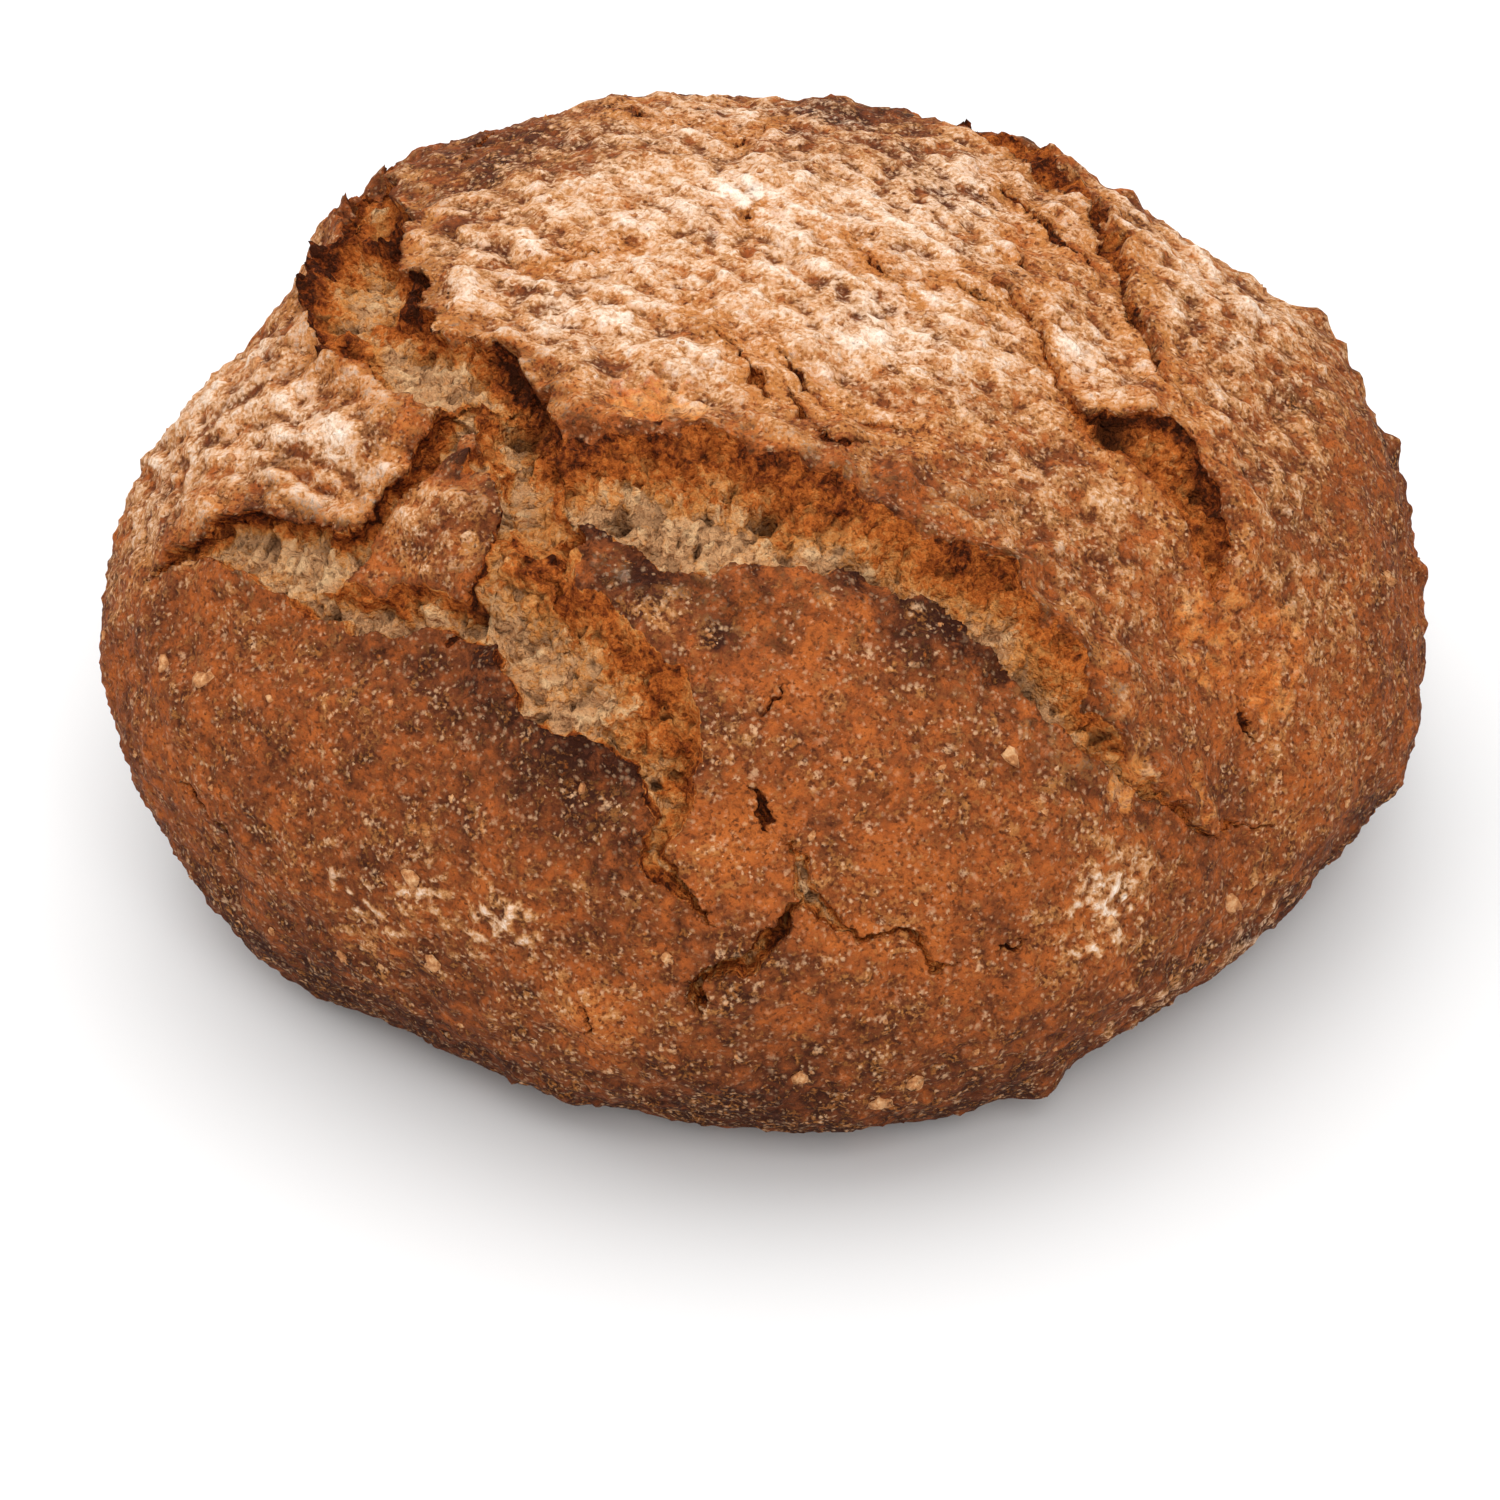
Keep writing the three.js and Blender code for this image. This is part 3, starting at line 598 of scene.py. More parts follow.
def longest_edges(points):
    """The longest edge allowed at each point: short in the tears and at their lips."""
    longest = np.where(coverage(points, SCUFFS) > SCUFFED, SCUFF_EDGE, CRUST_EDGE)
    noises = edge_noises(points)
    for trace in TRACES:
        rows, _, offset, half = uneven_tear(trace, points, noises, NEAR_TEARS)
        torn = (np.abs(offset) - half < LIP_BAND) & (half > LEAST_HALF)
        allowed = np.where(half < NARROW_HALF, CRACK_EDGE, TEAR_EDGE)
        longest[rows[torn]] = np.minimum(longest[rows[torn]], allowed[torn])
    return longest


def finer_net(directions, triangles):
    """The net with each edge that is too long for its place split in two, the same for both its triangles."""
    edges = np.sort(np.vstack([triangles[:, [0, 1]], triangles[:, [1, 2]], triangles[:, [2, 0]]]), axis=1)
    edges, edge_of = np.unique(edges, axis=0, return_inverse=True)
    places = dough(*angles_of(directions))
    middles = unit(directions[edges].sum(axis=1))
    middle_places = dough(*angles_of(middles))
    lengths = np.linalg.norm(places[edges[:, 0]] - places[edges[:, 1]], axis=1)
    split = (lengths > longest_edges(middle_places)) & (middle_places[:, 2] > 0)
    middle = np.full(len(edges), -1)
    middle[split] = len(directions) + np.arange(split.sum())
    cuts = middle[edge_of.reshape(3, -1).T]
    for _ in range(2):
        count = (cuts >= 0).sum(axis=1)
        turn = ((count == 1) | (count == 2)) & ((cuts[:, 0] < 0) | ((count == 2) & (cuts[:, 2] >= 0)))
        triangles = np.where(turn[:, None], np.roll(triangles, -1, axis=1), triangles)
        cuts = np.where(turn[:, None], np.roll(cuts, -1, axis=1), cuts)
    count = (cuts >= 0).sum(axis=1)
    corner = np.hstack([triangles, cuts])
    patterns = {0: [(0, 1, 2)], 1: [(0, 3, 2), (3, 1, 2)], 2: [(0, 3, 2), (3, 1, 4), (3, 4, 2)],
                3: [(0, 3, 5), (3, 1, 4), (5, 4, 2), (3, 4, 5)]}
    finer = [corner[count == cut][:, list(pattern)] for cut, group in patterns.items() for pattern in group]
    return np.vstack([directions, middles[split]]), np.vstack(finer)


# The loaf's surface

FIELDS = ("raised", "cut", "crumb", "toast", "char", "run", "offset", "shred", "rim")


def tear_fields(points):
    """What the tears do at each point: how the crust rises, sinks and leans, and how it is coloured."""
    count = len(points)
    fields = SimpleNamespace(**{name: np.zeros(count) for name in FIELDS})
    fields.lean = np.zeros((count, 3))
    fields.gap = np.full(count, float(FAR_FROM_TEARS))
    noises = edge_noises(points)
    for trace in TRACES:
        add_tear(fields, trace, points, noises)
    for trace in SHRED_TRACES:
        add_shred(fields, trace, points, noises["wander"])
    return fields


def keep_most(field, rows, value):
    """Raises rows of a field to a value where they are below it."""
    field[rows] = np.maximum(field[rows], value)


def wall_toast_and_shade(tear, offset, half):
    """How toasted a tear's walls are, most at their tops, with shade painted in as darker toasting under
    overhanging lips and in narrow cracks.
    """
    widest = 1.3 * half + 0.5
    toast = 0
    for lip, below in ((tear.left, half - offset), (tear.right, half + offset)):
        share = np.maximum(below, 0) / np.minimum(lip.brown, widest)
        toast = np.maximum(toast, lip.crisp * np.exp(-(share**TOAST_FADE)))
    return toast


def lip_lean(outside):
    """How much of its full lean a lip has at a distance from its edge: inside the tear it is undercut."""
    under = np.maximum(-outside, 0) / LEAN_DEPTH
    edge = np.exp(-3 * under)
    lean_inside = edge - UNDERCUT * (1 - edge) * under * np.exp(1 - under)
    return np.where(outside < 0, lean_inside, np.exp(-np.maximum(outside, 0) / LEAN_REACH))


def add_tear(fields, trace, points, noises):
    """Adds one tear to the fields."""
    tear = trace.tear
    rows, nearest, offset, half = uneven_tear(trace, points, noises, FAR_FROM_TEARS)
    size = np.sqrt(np.minimum(1, 2 * half / FULL_TEAR))
    outside = np.abs(offset) - half
    beyond = np.maximum(outside, 0)
    on_left = offset > 0

    def lip(part):
        return np.where(on_left, getattr(tear.left, part), getattr(tear.right, part))

    share = np.clip((offset / np.maximum(half, 0.01) + 1) / 2, 0, 1)
    inner_rise = tear.right.lift + (tear.left.lift - tear.right.lift) * smooth_step(share, 0, 1)
    outer_rise = lip("lift") * np.exp(-beyond / lip("reach"))
    keep_most(fields.raised, rows, size * np.where(outside < 0, inner_rise, outer_rise))
    roll = lip("roll")
    crust_end = roll + np.minimum(roll, 1) * noises["end"][rows]
    crumb = smooth_step(-outside, crust_end - 0.2, crust_end + 0.4) * (half > LEAST_HALF)
    keep_most(fields.crumb, rows, crumb)
    keep_most(fields.char, rows, size * lip("char") * np.exp(-beyond / CHAR_REACH))
    keep_most(fields.rim, rows, size * np.exp(-beyond / RIM_REACH))
    fields.gap[rows] = np.minimum(fields.gap[rows], beyond)

    walls = (1 - np.exp(-share / tear.right.ease)) * (1 - np.exp(-(1 - share) / tear.left.ease))
    cut = np.where(outside < 0, size * tear.depth * walls, 0)
    deeper = cut > fields.cut[rows]
    toast = wall_toast_and_shade(tear, offset, half)
    for name, value in (("cut", cut), ("toast", toast), ("run", trace.run[nearest]), ("offset", offset)):
        field = getattr(fields, name)
        field[rows] = np.where(deeper, value, field[rows])

    towards_middle = -np.where(on_left, 1, -1)[:, None] * trace.left[nearest]
    fields.lean[rows] += (size * lip("over") * lip_lean(outside))[:, None] * towards_middle


def add_shred(fields, trace, points, wander):
    """Adds one shred to the fields."""
    rows, nearest, offset = across_tear(trace, points, NEAR_SHREDS)
    half = np.maximum(trace.half[nearest], 0.5)
    share = np.exp(-(((offset + SHRED_WANDER * wander[rows]) / half) ** 2))
    keep_most(fields.shred, rows, trace.tear.height * share)
    fields.toast[rows] += trace.tear.toast * share


def pore_depths(points):
    """Large and small pores of the crumb."""
    distance, draw = nearest_grain(points, 4.5, 45)
    large = 1.6 * smooth_step(0.6 * draw - 0.25 - distance, -0.05, 0.2)
    distance, draw = nearest_grain(points, 1.8, 50)
    return large + 0.9 * smooth_step(0.6 * draw - 0.05 - distance, -0.05, 0.3)


def crumb_relief(points, fields):
    """Crags of the torn crumb, its sponge with pores, the pores alone, and how far it bulges sideways."""
    torn = np.nonzero(fields.crumb > 0)[0]
    places = points[torn]
    strands = np.stack([fields.run[torn] / 1.7, fields.offset[torn] / 6, places[:, 2] / 9], axis=1)
    pores = pore_depths(places)
    sponge = layered(places, CRUMB_SPONGE) + layered(strands, CRUMB_STRANDS) - pores
    sideways = 0.4 * noise_vector(places, 2.6, 55) + 0.4 * noise_vector(places, 1.2, 58)
    results = []
    for part in (layered(places, CRUMB_CRAGS), sponge, pores, sideways):
        whole = np.zeros((len(points),) + part.shape[1:])
        whole[torn] = part
        results.append(whole)
    return results


def stretched(points):
    """Points pulled together along the way in which the crust stretched, so noise there runs along it."""
    way = np.array(STRETCH_WAY)
    return points - (1 - 1 / STRETCH) * (points @ way)[:, None] * way


def crust_relief(points, flour, gap, rim):
    """Lumps, wrinkles and grains of the baked crust, rougher where it is floured and near the tears."""
    plate = smooth_step(flour, *FLOURED)
    lumps = 0.6 * noise(points, 14, 60) + (0.35 + (0.7 + 0.6 * plate) * rim) * noise(points, 8, 61)
    drawn = stretched(points)
    folds = np.abs(noise(drawn, 6, 62)) + 0.55 * np.abs(noise(drawn, 3, 67)) - 0.62
    folding = 0.12 + 0.55 * plate + (0.9 + 0.7 * plate) * rim
    wrinkles = folding * folds + (0.2 + 0.15 * plate) * noise(points, 4, 63)
    grain = (0.3 + 0.1 * plate) * noise(points, 2.4, 64) + layered(points, CRUST_GRAIN)
    distance, draw = nearest_grain(points, 3, 66)
    blisters = 0.45 * (draw < 0.3) - 0.35 * (draw > 0.85)
    spots = smooth_step(0.45 - distance, 0, 0.3) * blisters
    return lumps, (wrinkles + grain + spots) * (1 - 0.5 * np.exp(-gap / 1.2))


def thin_crust(base, crumb):
    """How far the crumb shows through the crust."""
    thin = coverage(base, SCUFFS) * (1 + layered(base, SCUFF_EDGES))
    return (1 - crumb) * smooth_step(thin, 0.2, 0.8)


def toasting(base, fields, relief):
    """How toasted the crumb is, in the tears and where it shows through thin crust. Under lips and in narrow
    cracks this darkening is partly painted shade.
    """
    blotches = layered(base, TOAST_BLOTCHES)
    torn_toast = fields.toast + summed(base, CRUMB_TONES)
    toast = np.where(fields.crumb > 0, torn_toast, THIN_CRUST_TOAST + blotches)
    shallow = 1 - np.clip(fields.cut / DEEP_CUT, 0, 1)
    return np.clip(toast + blotches + 0.08 * relief + 0.1 * shallow, 0, 1)


def burning(base, fields):
    """How burnt the crust beside the tears is."""
    char = fields.char * (1 + layered(base, CHAR_BLOTCHES))
    return np.clip(char * (1 - coverage(base, UNBURNT)), 0, 1)


def crust_tone(base, char, gap):
    """How much darker or more orange the crust is: darker low down, which is painted shade, and more orange
    at lips that aren't burnt.
    """
    tone = summed(base, CRUST_TONES) + LOW_PAINTED_SHADE * smooth_step(base[:, 2], *LOW_SHADE_HEIGHTS)
    return tone + layered(base, TONE_BLOTCHES) + LIP_TONE * (1 - char) * np.exp(-gap / LIP_TONE_REACH)


def loaf_surface(directions):
    """The loaf's points in millimetres before and after it is shaped, and the values that colour them."""
    azimuth, polar = angles_of(directions)
    base = dough(azimuth, polar)
    fields = tear_fields(base)
    gap = fields.gap
    crags, sponge, pores, sideways = crumb_relief(base, fields)
    crumb = fields.crumb * smooth_step(fields.cut, *OPEN_CUTS)
    cavities = summed(base, HOLES)
    flour = coverage(base, DUSTINGS)
    lumps, fine = crust_relief(base, flour, gap, fields.rim)
    clumps = coverage(base, CLUMPS) * smooth_step(layered(base, CLUMP_SPREAD), 0, 0.6)
    fine += CLUMP_HEIGHT * clumps
    thin = thin_crust(base, crumb)
    relief = fields.raised - fields.cut + summed(base, SETTLINGS) + summed(base, KNOBS)
    relief += layered(base, LOAF_SWELL) + (1 - crumb) * (lumps + fine)
    relief += crumb * (crags + sponge + cavities + summed(base, LUMPS) + fields.shred)
    relief += thin * (layered(base, SCUFF_RELIEF) - SCUFF_DEPTH)
    free = np.clip(base[:, 2] / FREE_HEIGHT, 0, 1)[:, None]
    moved = relief[:, None] * dough_normal(azimuth, polar) + fields.lean + crumb[:, None] * sideways
    points = base + free * moved
    points[:, 2] = np.maximum(points[:, 2], 0)
    char = burning(base, fields)
    streaks = 1 + layered(stretched(base), FLOUR_STREAKS)
    values = {
        "crumb": fields.crumb,
        "toast": toasting(base, fields, crags + sponge),
        # How much shade is painted into the crumb's pores and holes
        "pores": np.clip(crumb * (0.5 * pores - 0.3 * cavities), 0, 1),
        "char": char,
        "flour": (flour + CLUMP_FLOUR * clumps) * streaks * smooth_step(gap, *FLOUR_GAPS),
        "tone": crust_tone(base, char, gap),
        "relief": (1 - crumb) * fine + crumb * sponge,
        "scuff": thin,
        "gap": gap,
    }
    return base, points, values


def add_object(name, data):
    """An object with the given data, in the scene."""
    thing = bpy.data.objects.new(name, data)
    bpy.context.scene.collection.objects.link(thing)
    return thing


def make_mesh(name, points, triangles, values=None, normals=None):
    """A smooth-shaded mesh object from arrays, with its values as point attributes."""
    used, triangles = np.unique(triangles, return_inverse=True)
    mesh = bpy.data.meshes.new(name)
    mesh.from_pydata(points[used] * MM, [], triangles.reshape(-1, 3))
    mesh.validate()
    mesh.shade_smooth()
    if normals is not None:
        mesh.normals_split_custom_set_from_vertices(normals[used])
    for key, value in (values or {}).items():
        attribute = mesh.attributes.new(key, "FLOAT", "POINT")
        attribute.data.foreach_set("value", value[used].astype(np.float32))
    piece = add_object(name, mesh)
    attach(piece, "root")
    return piece


# Materials

class Nodes:
    """Adds nodes to a material. An input is a number, a colour or another node's output."""

    def __init__(self, name):
        self.material = bpy.data.materials.new(name)
        self.material.use_nodes = True
        self.tree = self.material.node_tree
        self.shader = self.tree.nodes["Principled BSDF"]
        self.coordinates = self.add("TexCoord").outputs["Object"]

    def connect(self, node, inputs):
        for key, value in inputs.items():
            if isinstance(value, bpy.types.NodeSocket):
                self.tree.links.new(value, node.inputs[key])
            else:
                node.inputs[key].default_value = value

    def add(self, kind, inputs=(), **settings):
        node = self.tree.nodes.new("ShaderNode" + kind)
        for key, value in settings.items():
            setattr(node, key, value)
        self.connect(node, dict(inputs))
        return node

    def value(self, name):
        """A value that the mesh holds at each point."""
        return self.add("Attribute", attribute_name=name).outputs["Fac"]

    def noise(self, length, detail=2.0, roughness=0.5):
        """Noise around 0, mostly within a quarter, that changes over a length in millimetres."""
        inputs = {"Vector": self.coordinates, "Scale": 1 / (length * MM), "Detail": detail,
                  "Roughness": roughness}
        return self.math("SUBTRACT", self.add("TexNoise", inputs).outputs["Fac"], 0.5)

    def grains(self, length, coordinates):
        """Grains of a length: the distance from the nearest one's middle and its random number."""
        node = self.add("TexVoronoi", {"Vector": coordinates, "Scale": 1 / (length * MM)})
        draw = self.add("SeparateColor", {"Color": node.outputs["Color"]}).outputs["Red"]
        return node.outputs["Distance"], draw

    def cells(self, length):
        """Random numbers around 0, within a half, in grains of a length."""
        return self.math("SUBTRACT", self.grains(length, self.coordinates)[1], 0.5)

    def dots(self, length, share, largest, ragged):
        """Scattered dots, 1 in their middle and 0 around, in a share of the grains of a length. largest: the
        largest dot's radius as a share of that length. ragged: noise that makes the dots uneven."""
        inputs = {"Vector": self.coordinates, "Scale": 2 / (length * MM)}
        bend = self.add("TexNoise", inputs).outputs["Color"]
        reach = (0.3 * length * MM,) * 3
        inputs = {0: bend, 1: reach, 2: self.coordinates}
        bent = self.add("VectorMath", inputs, operation="MULTIPLY_ADD").outputs[0]
        distance, draw = self.grains(length, bent)
        size = self.step(draw, 1 - share, 1, 0, largest)
        return self.step(self.total(distance, (ragged, -1.2)), size, 0)

    def math(self, operation, a, b=0.0):
        return self.add("Math", {0: a, 1: b}, operation=operation).outputs[0]

    def times(self, a, b):
        return self.math("MULTIPLY", a, b)

    def most(self, a, b):
        return self.math("MAXIMUM", a, b)

    def total(self, *terms):
        """A sum of numbers or outputs, each alone or in a pair with its factor."""
        result = 0.0
        for term in terms:
            value, factor = term if isinstance(term, tuple) else (term, 1.0)
            node = self.add("Math", {0: value, 1: factor, 2: result}, operation="MULTIPLY_ADD")
            result = node.outputs[0]
        return result

    def step(self, value, low, high, bottom=0.0, top=1.0):
        """A smooth step between two values."""
        inputs = {"Value": value, "From Min": low, "From Max": high, "To Min": bottom, "To Max": top}
        return self.add("MapRange", inputs, interpolation_type="SMOOTHSTEP").outputs["Result"]

    def mix(self, share, a, b):
        """A colour a that gives way to b by a share."""
        return self.add("Mix", {0: share, 6: a, 7: b}, data_type="RGBA").outputs[2]

    def ramp(self, value, *stops):
        """Colours along a value."""
        node = self.add("ValToRGB", {"Fac": value})
        elements = node.color_ramp.elements
        for place, _ in stops[2:]:
            elements.new(place)
        for element, (place, colour) in zip(elements, stops):
            element.position = place
            element.color = colour
        return node.outputs["Color"]

    def finish(self, colour, roughness, shine, height):
        """The material with its colour, roughness, shine and surface detail from a height in millimetres."""
        normal = self.add("Bump", {"Height": height, "Distance": MM}).outputs["Normal"]
        look = {"Base Color": colour, "Roughness": roughness, "Specular IOR Level": shine, "Normal": normal}
        self.connect(self.shader, look)
        return self.material


def srgb(red, green, blue):
    """A colour given as a screen shows it, from 0 to 255."""
    shares = [channel / 255 for channel in (red, green, blue)]
    return [s / 12.92 if s <= 0.04045 else ((s + 0.055) / 1.055) ** 2.4 for s in shares] + [1]


CRUST_AMBER = srgb(180, 97, 43)
CRUST_ORANGE = srgb(162, 84, 38)
CRUST_BROWN = srgb(130, 68, 34)
CRUST_DEEP = srgb(94, 47, 26)
CRUST_DARK = srgb(58, 29, 18)
CRUST_GOLD = srgb(196, 126, 64)
CRUST_FILM = srgb(208, 144, 82)
BURNT = srgb(46, 18, 7)
FLECK = srgb(222, 178, 138)
FLOUR = srgb(254, 238, 220)
# The colour of the painted highlight on the crumb's crests
CRUMB_PAINTED_HIGHLIGHT = srgb(248, 204, 152)
CRUMB_PALE = srgb(222, 168, 118)
CRUMB_GOLD = srgb(224, 150, 80)
CRUMB_TOASTED = srgb(204, 110, 45)
CRUMB_BROWN = srgb(126, 56, 22)
CRUMB_DARK = srgb(66, 30, 15)
# The colour of the painted shade in the crumb's pores, holes and crevices
PAINTED_PORE_SHADE = srgb(74, 38, 18)
BRAN_PALE = srgb(222, 176, 128)
BRAN_TAN = srgb(190, 128, 78)
BRAN_BROWN = srgb(122, 68, 36)


def browned_crust(nodes, fine, grain, mottle, flour, film):
    """Baked crust from amber to dark brown, burnt at the lips, with golden grains and painted shade in its
    creases. Also how unburnt it is.
    """
    relief = nodes.value("relief")
    tone = nodes.value("tone")
    # The relief term darkens the crust a little where it is low: painted shade
    shade = nodes.total((tone, 0.75), (mottle, 0.95), (grain, 1.6), (fine, 0.9), (relief, -0.1), 0.57)
    colour = nodes.ramp(shade, (0.0, CRUST_AMBER), (0.28, CRUST_ORANGE), (0.56, CRUST_BROWN),
                        (0.82, CRUST_DEEP), (1.0, CRUST_DARK))
    colour = nodes.mix(film, colour, CRUST_FILM)
    # Painted shade: the creases of the wrinkles darkened to deep brown
    colour = nodes.mix(nodes.step(relief, -0.2, -0.75, 0, 0.65), colour, CRUST_DEEP)
    burn = nodes.step(nodes.total(nodes.value("char"), (grain, 1.2), (fine, 2.0)), 0.18, 1.0, 0, 0.85)
    colour = nodes.mix(burn, colour, BURNT)
    soot = nodes.times(nodes.step(fine, 0.03, -0.22, 0, 0.8), nodes.step(film, 0, 0.9, 1, 0.35))
    colour = nodes.mix(soot, colour, CRUST_DARK)
    lip = nodes.times(nodes.step(nodes.value("gap"), 8, 0), nodes.step(flour, 0.05, 0.25))
    gold = nodes.step(nodes.total(fine, (grain, 0.5), (mottle, 0.4), (lip, 0.3)), 0.0, 0.34, 0, 0.72)
    colour = nodes.mix(nodes.times(gold, nodes.step(burn, 0, 0.6, 1, 0)), colour, CRUST_GOLD)
    return colour, nodes.step(burn, 0, 0.85, 1, 0.45)


def crust_colour(nodes, fine, grain, mottle):
    """Browned, grainy crust under a film, flecks and clumps of flour. Also gives the flour's share."""
    relief = nodes.value("relief")
    flour = nodes.value("flour")
    darker = nodes.most(nodes.value("tone"), 0)
    fine = nodes.total((fine, 0.7), (nodes.cells(0.6), 0.22))
    film = nodes.total(flour, (mottle, 0.5), (grain, 0.6), (fine, 0.4), (relief, 0.22), (darker, -0.25))
    film = nodes.step(film, 0.06, 0.46, 0, 0.9)
    baked, unburnt = browned_crust(nodes, fine, grain, mottle, flour, film)
    clumps = nodes.step(nodes.total(mottle, (grain, 0.8), (flour, 0.4)), -0.18, 0.2, 0.2, 0.75)
    dots = nodes.most(nodes.dots(1.05, 0.95, 0.6, fine), nodes.dots(2.6, 0.4, 0.42, fine))
    baked = nodes.mix(nodes.times(dots, nodes.times(clumps, unburnt)), baked, FLECK)
    dust = nodes.total(flour, (mottle, 0.3), (grain, 0.6), (fine, 1.0), (relief, 0.22), THIN_DUST)
    floured = nodes.times(nodes.step(dust, 0.3, 1.0, 0, 0.92), unburnt)
    return nodes.mix(floured, baked, FLOUR), floured


def crumb_colour(nodes, fine, grain):
    """Torn crumb, pale in the open and toasted towards the lips, with painted highlights on its crests and
    painted shade in its crevices and pores.
    """
    relief = nodes.value("relief")
    toast = nodes.total(nodes.value("toast"), (grain, 0.6), (fine, 0.7), (nodes.cells(0.8), 0.22), -0.03)
    colour = nodes.ramp(toast, (0.0, CRUMB_PALE), (0.26, CRUMB_GOLD), (0.55, CRUMB_TOASTED),
                        (0.85, CRUMB_BROWN), (1.0, CRUMB_DARK))
    # Painted highlight: raised crumb that is little toasted is lightened to a pale cream
    painted_highlight = nodes.times(nodes.step(relief, 0.0, 1.2, 0, 0.7), nodes.step(toast, 0.5, 0.15))
    colour = nodes.mix(painted_highlight, colour, CRUMB_PAINTED_HIGHLIGHT)
    dots = nodes.most(nodes.dots(1.7, 0.7, 0.6, fine), nodes.dots(3.4, 0.5, 0.45, fine))
    # Painted shade in the crumb's crevices, in the bump's hollows, in dotted pores and in the mesh's pores
    # and holes
    painted_hollow_shade = (nodes.step(relief, -0.1, -1.5, 0, 0.45), nodes.step(fine, -0.05, -0.3, 0, 0.3),
               nodes.times(dots, 0.6), nodes.times(nodes.value("pores"), 0.8))
    for share in painted_hollow_shade:
        colour = nodes.mix(share, colour, PAINTED_PORE_SHADE)
    return colour


def loaf_material():
    """Baked crust, and the crumb that shows in the tears and through thin places."""
    nodes = Nodes("baked_loaf")
    fine = nodes.noise(0.8, 3, 0.6)
    grain = nodes.noise(2.3, 2, 0.5)
    mottle = nodes.noise(8, 3, 0.55)
    crust, floured = crust_colour(nodes, fine, grain, mottle)
    crumb = crumb_colour(nodes, fine, grain)
    torn = nodes.step(nodes.total(nodes.value("crumb"), (fine, 0.6)), 0.3, 0.6)
    thin = nodes.step(nodes.total(nodes.value("scuff"), (fine, 2.2), (grain, 1.6)), 0.15, 1.1, 0, 0.85)
    colour = nodes.mix(nodes.most(torn, thin), crust, crumb)
    roughness = nodes.step(nodes.most(floured, torn), 0, 1, 0.68, 0.95)
    height = nodes.times(nodes.total((grain, 1.4), (fine, 0.9)), nodes.step(torn, 0, 1, 1, 2.6))
    return nodes.finish(colour, roughness, shine=0.06, height=height)


def flake_material(name, shade):
    """Bran: pale and mottled, browned by the oven."""
    nodes = Nodes(name)
    grain = nodes.total((nodes.noise(1.3, 4, 0.65), 2.0), shade)
    colour = nodes.ramp(grain, (0.1, BRAN_PALE), (0.5, BRAN_TAN), (0.9, BRAN_BROWN))
    height = nodes.times(nodes.noise(0.7, 3), 0.5)
    return nodes.finish(colour, roughness=0.85, shine=0.2, height=height)


# Pieces

def make_loaf():
    """The crust, its foot and the crumb in its tears, cut from one net so that they meet without a gap."""
    directions, triangles = even_net(START_SPLITS)
    for _ in range(REFINEMENTS):
        directions, triangles = finer_net(directions, triangles)
    base, points, values = loaf_surface(directions)
    lowest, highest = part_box("loaf")
    middle = (Vector(lowest) + Vector(highest)) / 2 / MM
    own_middle = (points.min(axis=0) + points.max(axis=0)) / 2
    points += np.array([middle.x - own_middle[0], middle.y - own_middle[1], 0])
    normals = point_normals(points, triangles)
    torn = values["crumb"][triangles].mean(axis=1) > 0.5
    low = base[triangles].mean(axis=1)[:, 2] < GIRTH_HEIGHT
    material = loaf_material()
    for name, chosen in (("loaf_crust", ~torn & ~low), ("loaf_foot", ~torn & low), ("torn_crumb", torn)):
        piece = make_mesh(name, points, triangles[chosen], values, normals)
        piece.data.materials.append(material)
        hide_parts("loaf")
    return {"base": base, "points": points, "normals": normals, "gap": values["gap"]}


def point_normals(points, triangles):
    """Outward directions at the points of a mesh."""
    a, b, c = (points[triangles[:, corner]] for corner in range(3))
    facing = np.cross(b - a, c - a)
    corners = triangles.ravel()
    sums = [np.bincount(corners, np.repeat(facing[:, axis], 3), len(points)) for axis in range(3)]
    return unit(np.stack(sums, axis=1))


def flake_shape(draw, length):
    """One flake: a bent irregular lens, in millimetres, lying flat and half sunk."""
    sides = FLAKE_SIDES
    angle = np.arange(sides) * 2 * math.pi / sides
    reach = length / 2 * (0.55 + 0.6 * draw.random(sides)) * draw.uniform(0.75, 1.1)
    wobble = 0.05 * length * draw.normal(size=sides)
    rim = np.stack([reach * np.cos(angle), 0.76 * reach * np.sin(angle), wobble], axis=1)
    rim[:, 2] += 0.1 * rim[:, 0] ** 2 / length
    crown = np.array([0, 0, 0.13 * length])
    inner = rim * (0.55, 0.55, 1) + 0.8 * crown + 0.05 * length * draw.normal(size=(sides, 3))
    below = rim * (0.8, 0.8, 1) - 1.5 * crown
    points = np.vstack([rim, inner, below, [crown, -1.7 * crown]])
    top, bottom = 3 * sides, 3 * sides + 1
    triangles = []
    for i in range(sides):
        j = (i + 1) % sides
        up, down = sides, 2 * sides
        triangles += [(i, j, up + j), (i, up + j, up + i), (up + i, up + j, top)]
        triangles += [(j, i, down + i), (j, down + i, down + j), (down + j, down + i, bottom)]
    return points, np.array(triangles)


def spread_places(draw, count, polars):
    """Places spread over the crust by the golden angle."""
    low, high = polars
    return [(i * GOLDEN_ANGLE % 360, low + (high - low) * (i + draw.random()) / count) for i in range(count)]


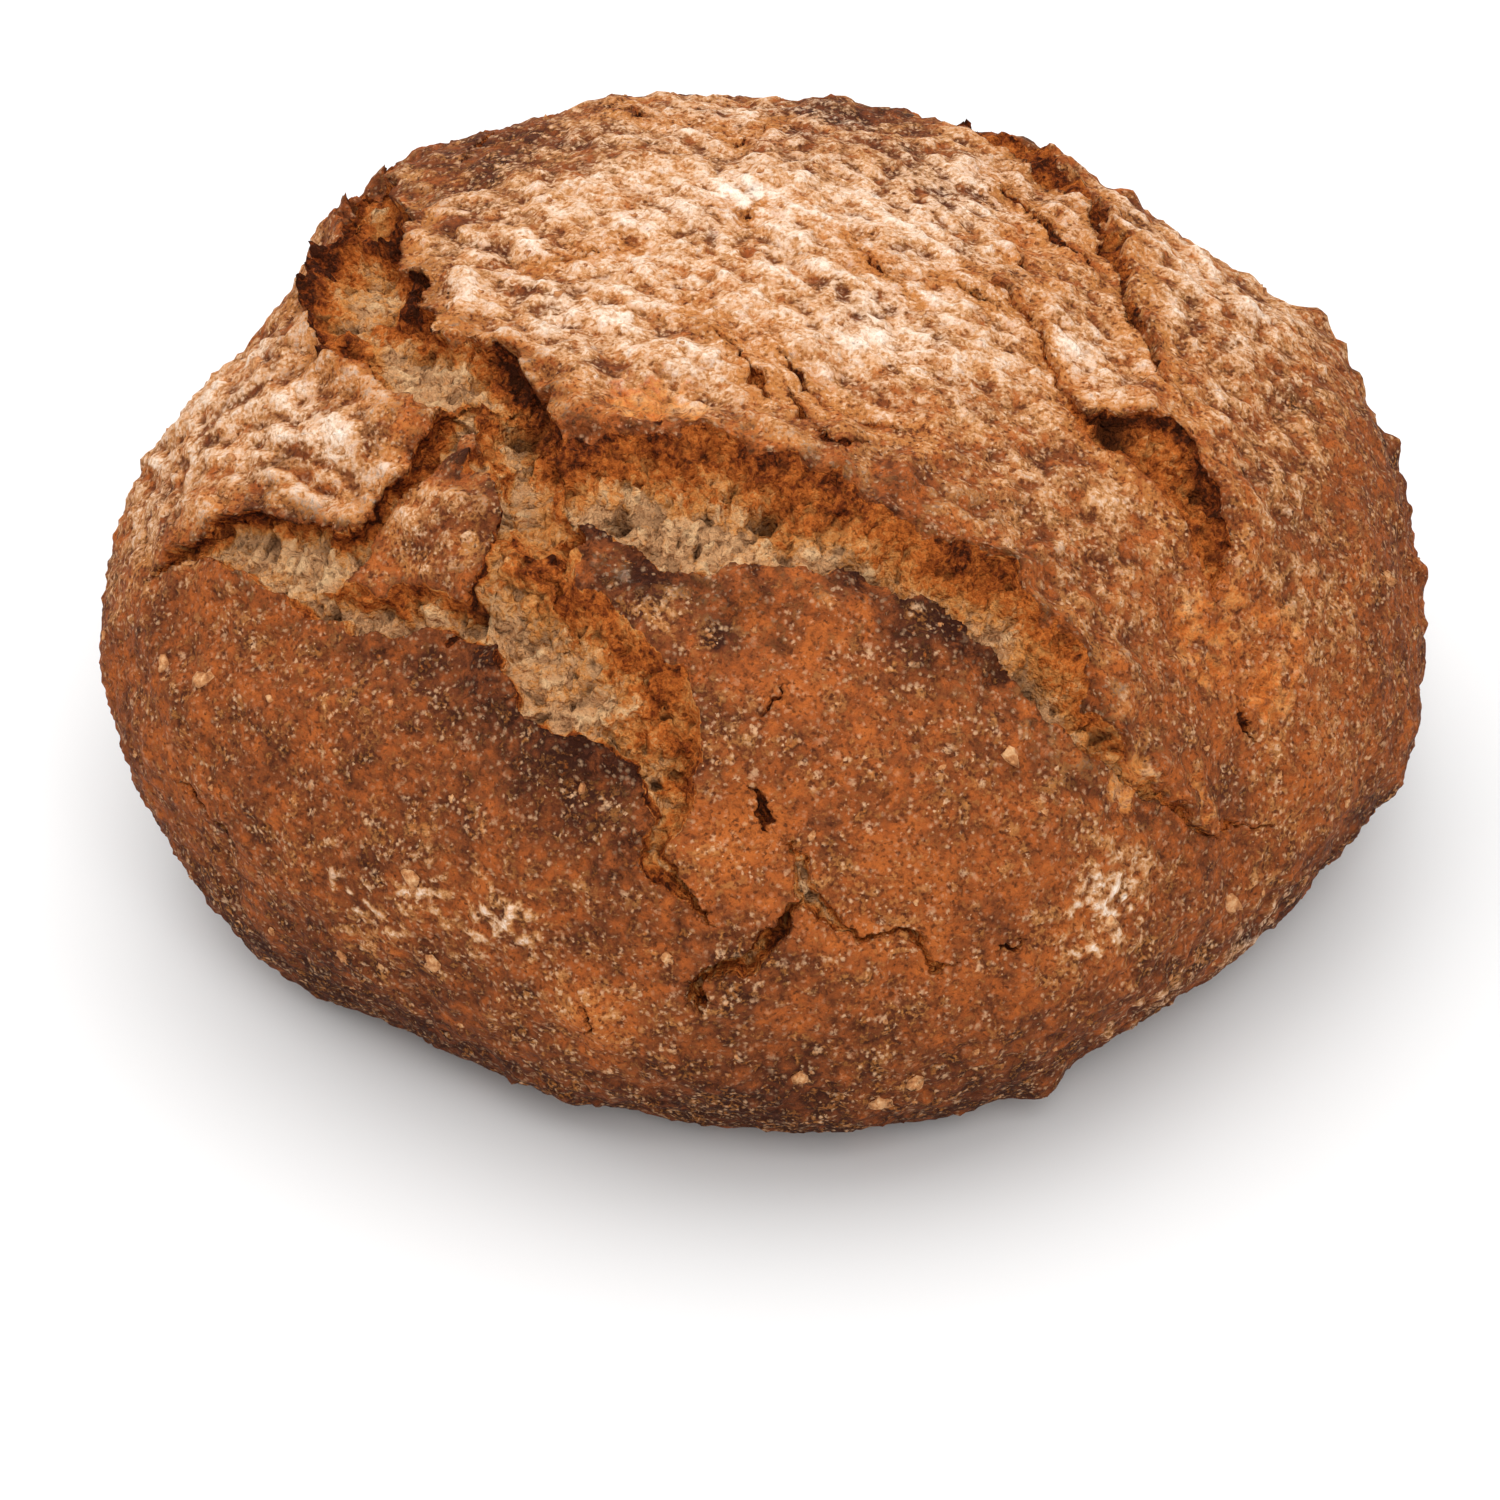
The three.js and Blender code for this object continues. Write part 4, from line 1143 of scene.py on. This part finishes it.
def make_flakes(name, surface, places, length, shade, draw):
    """Flakes lying on the crust at the given places."""
    all_points, all_triangles, start = [], [], 0
    for azimuth, polar in places:
        near = ((surface["base"] - dough_at(azimuth, polar)) ** 2).sum(axis=1)
        seat = near.argmin()
        if surface["gap"][seat] < FLAKE_CLEAR * length / FLAKE_LENGTH:
            continue
        up = unit(surface["normals"][near < length**2 / 2 + 1].mean(axis=0))
        turn = draw.uniform(0, 2 * math.pi)
        side = unit(np.cross(up, (math.cos(turn), math.sin(turn), 0.3)))
        flake, triangles = flake_shape(draw, length * draw.uniform(0.75, 1.15))
        all_points.append(surface["points"][seat] + flake @ np.stack([side, np.cross(up, side), up]))
        all_triangles.append(triangles + start)
        start += len(flake)
    piece = make_mesh(name, np.vstack(all_points), np.vstack(all_triangles))
    piece.data.materials.append(flake_material(name, shade))


def make_bran(surface):
    """The flakes seen at the front with a spread of more, and small bits of bran all over."""
    draw = np.random.default_rng(SEED)
    flakes = list(FRONT_FLAKES) + spread_places(draw, FLAKE_COUNT, FLAKE_POLARS)
    make_flakes("bran_flakes", surface, flakes, FLAKE_LENGTH, FLAKE_SHADE, draw)
    bits = spread_places(draw, BIT_COUNT, BIT_POLARS)
    make_flakes("bran_bits", surface, bits, BIT_LENGTH, BIT_SHADE, draw)


# Stage

def make_floor():
    mesh = bpy.data.meshes.new("floor")
    corners = [(x * FLOOR_REACH, y * FLOOR_REACH, 0) for x, y in ((-1, -1), (1, -1), (1, 1), (-1, 1))]
    mesh.from_pydata(corners, [], [range(len(corners))])
    floor = add_object("floor", mesh)
    nodes = Nodes("floor")
    nodes.connect(nodes.shader, {"Base Color": FLOOR_COLOUR, "Roughness": FLOOR_ROUGHNESS})
    mesh.materials.append(nodes.material)


def point_at(thing, place, aim):
    thing.location = Vector(place) * MM
    thing.rotation_euler = (Vector(aim) - Vector(place)).to_track_quat("-Z", "Y").to_euler()


def make_camera():
    data = bpy.data.cameras.new("camera")
    data.lens = LENS
    data.sensor_width = SENSOR_WIDTH
    data.clip_start = NEAREST_SEEN
    camera = add_object("camera", data)
    point_at(camera, CAMERA_PLACE, CAMERA_AIM)
    bpy.context.scene.camera = camera


def add_softbox(name, place, size, power):
    """A square light aimed at the middle of the loaf."""
    data = bpy.data.lights.new(name, "AREA")
    data.shape = "SQUARE"
    data.size = size
    data.energy = power
    point_at(add_object(name, data), place, LIGHT_AIM)


def make_light():
    scene = bpy.context.scene
    scene.world = bpy.data.worlds.new("studio")
    scene.world.use_nodes = True
    background = scene.world.node_tree.nodes["Background"]
    background.inputs["Color"].default_value = (1, 1, 1, 1)
    background.inputs["Strength"].default_value = SKY_STRENGTH
    add_softbox("key", **KEY_LIGHT)
    add_softbox("fill", **FILL_LIGHT)
    scene.view_settings.view_transform = "Standard"


make_bran(make_loaf())
make_floor()
make_camera()
make_light()
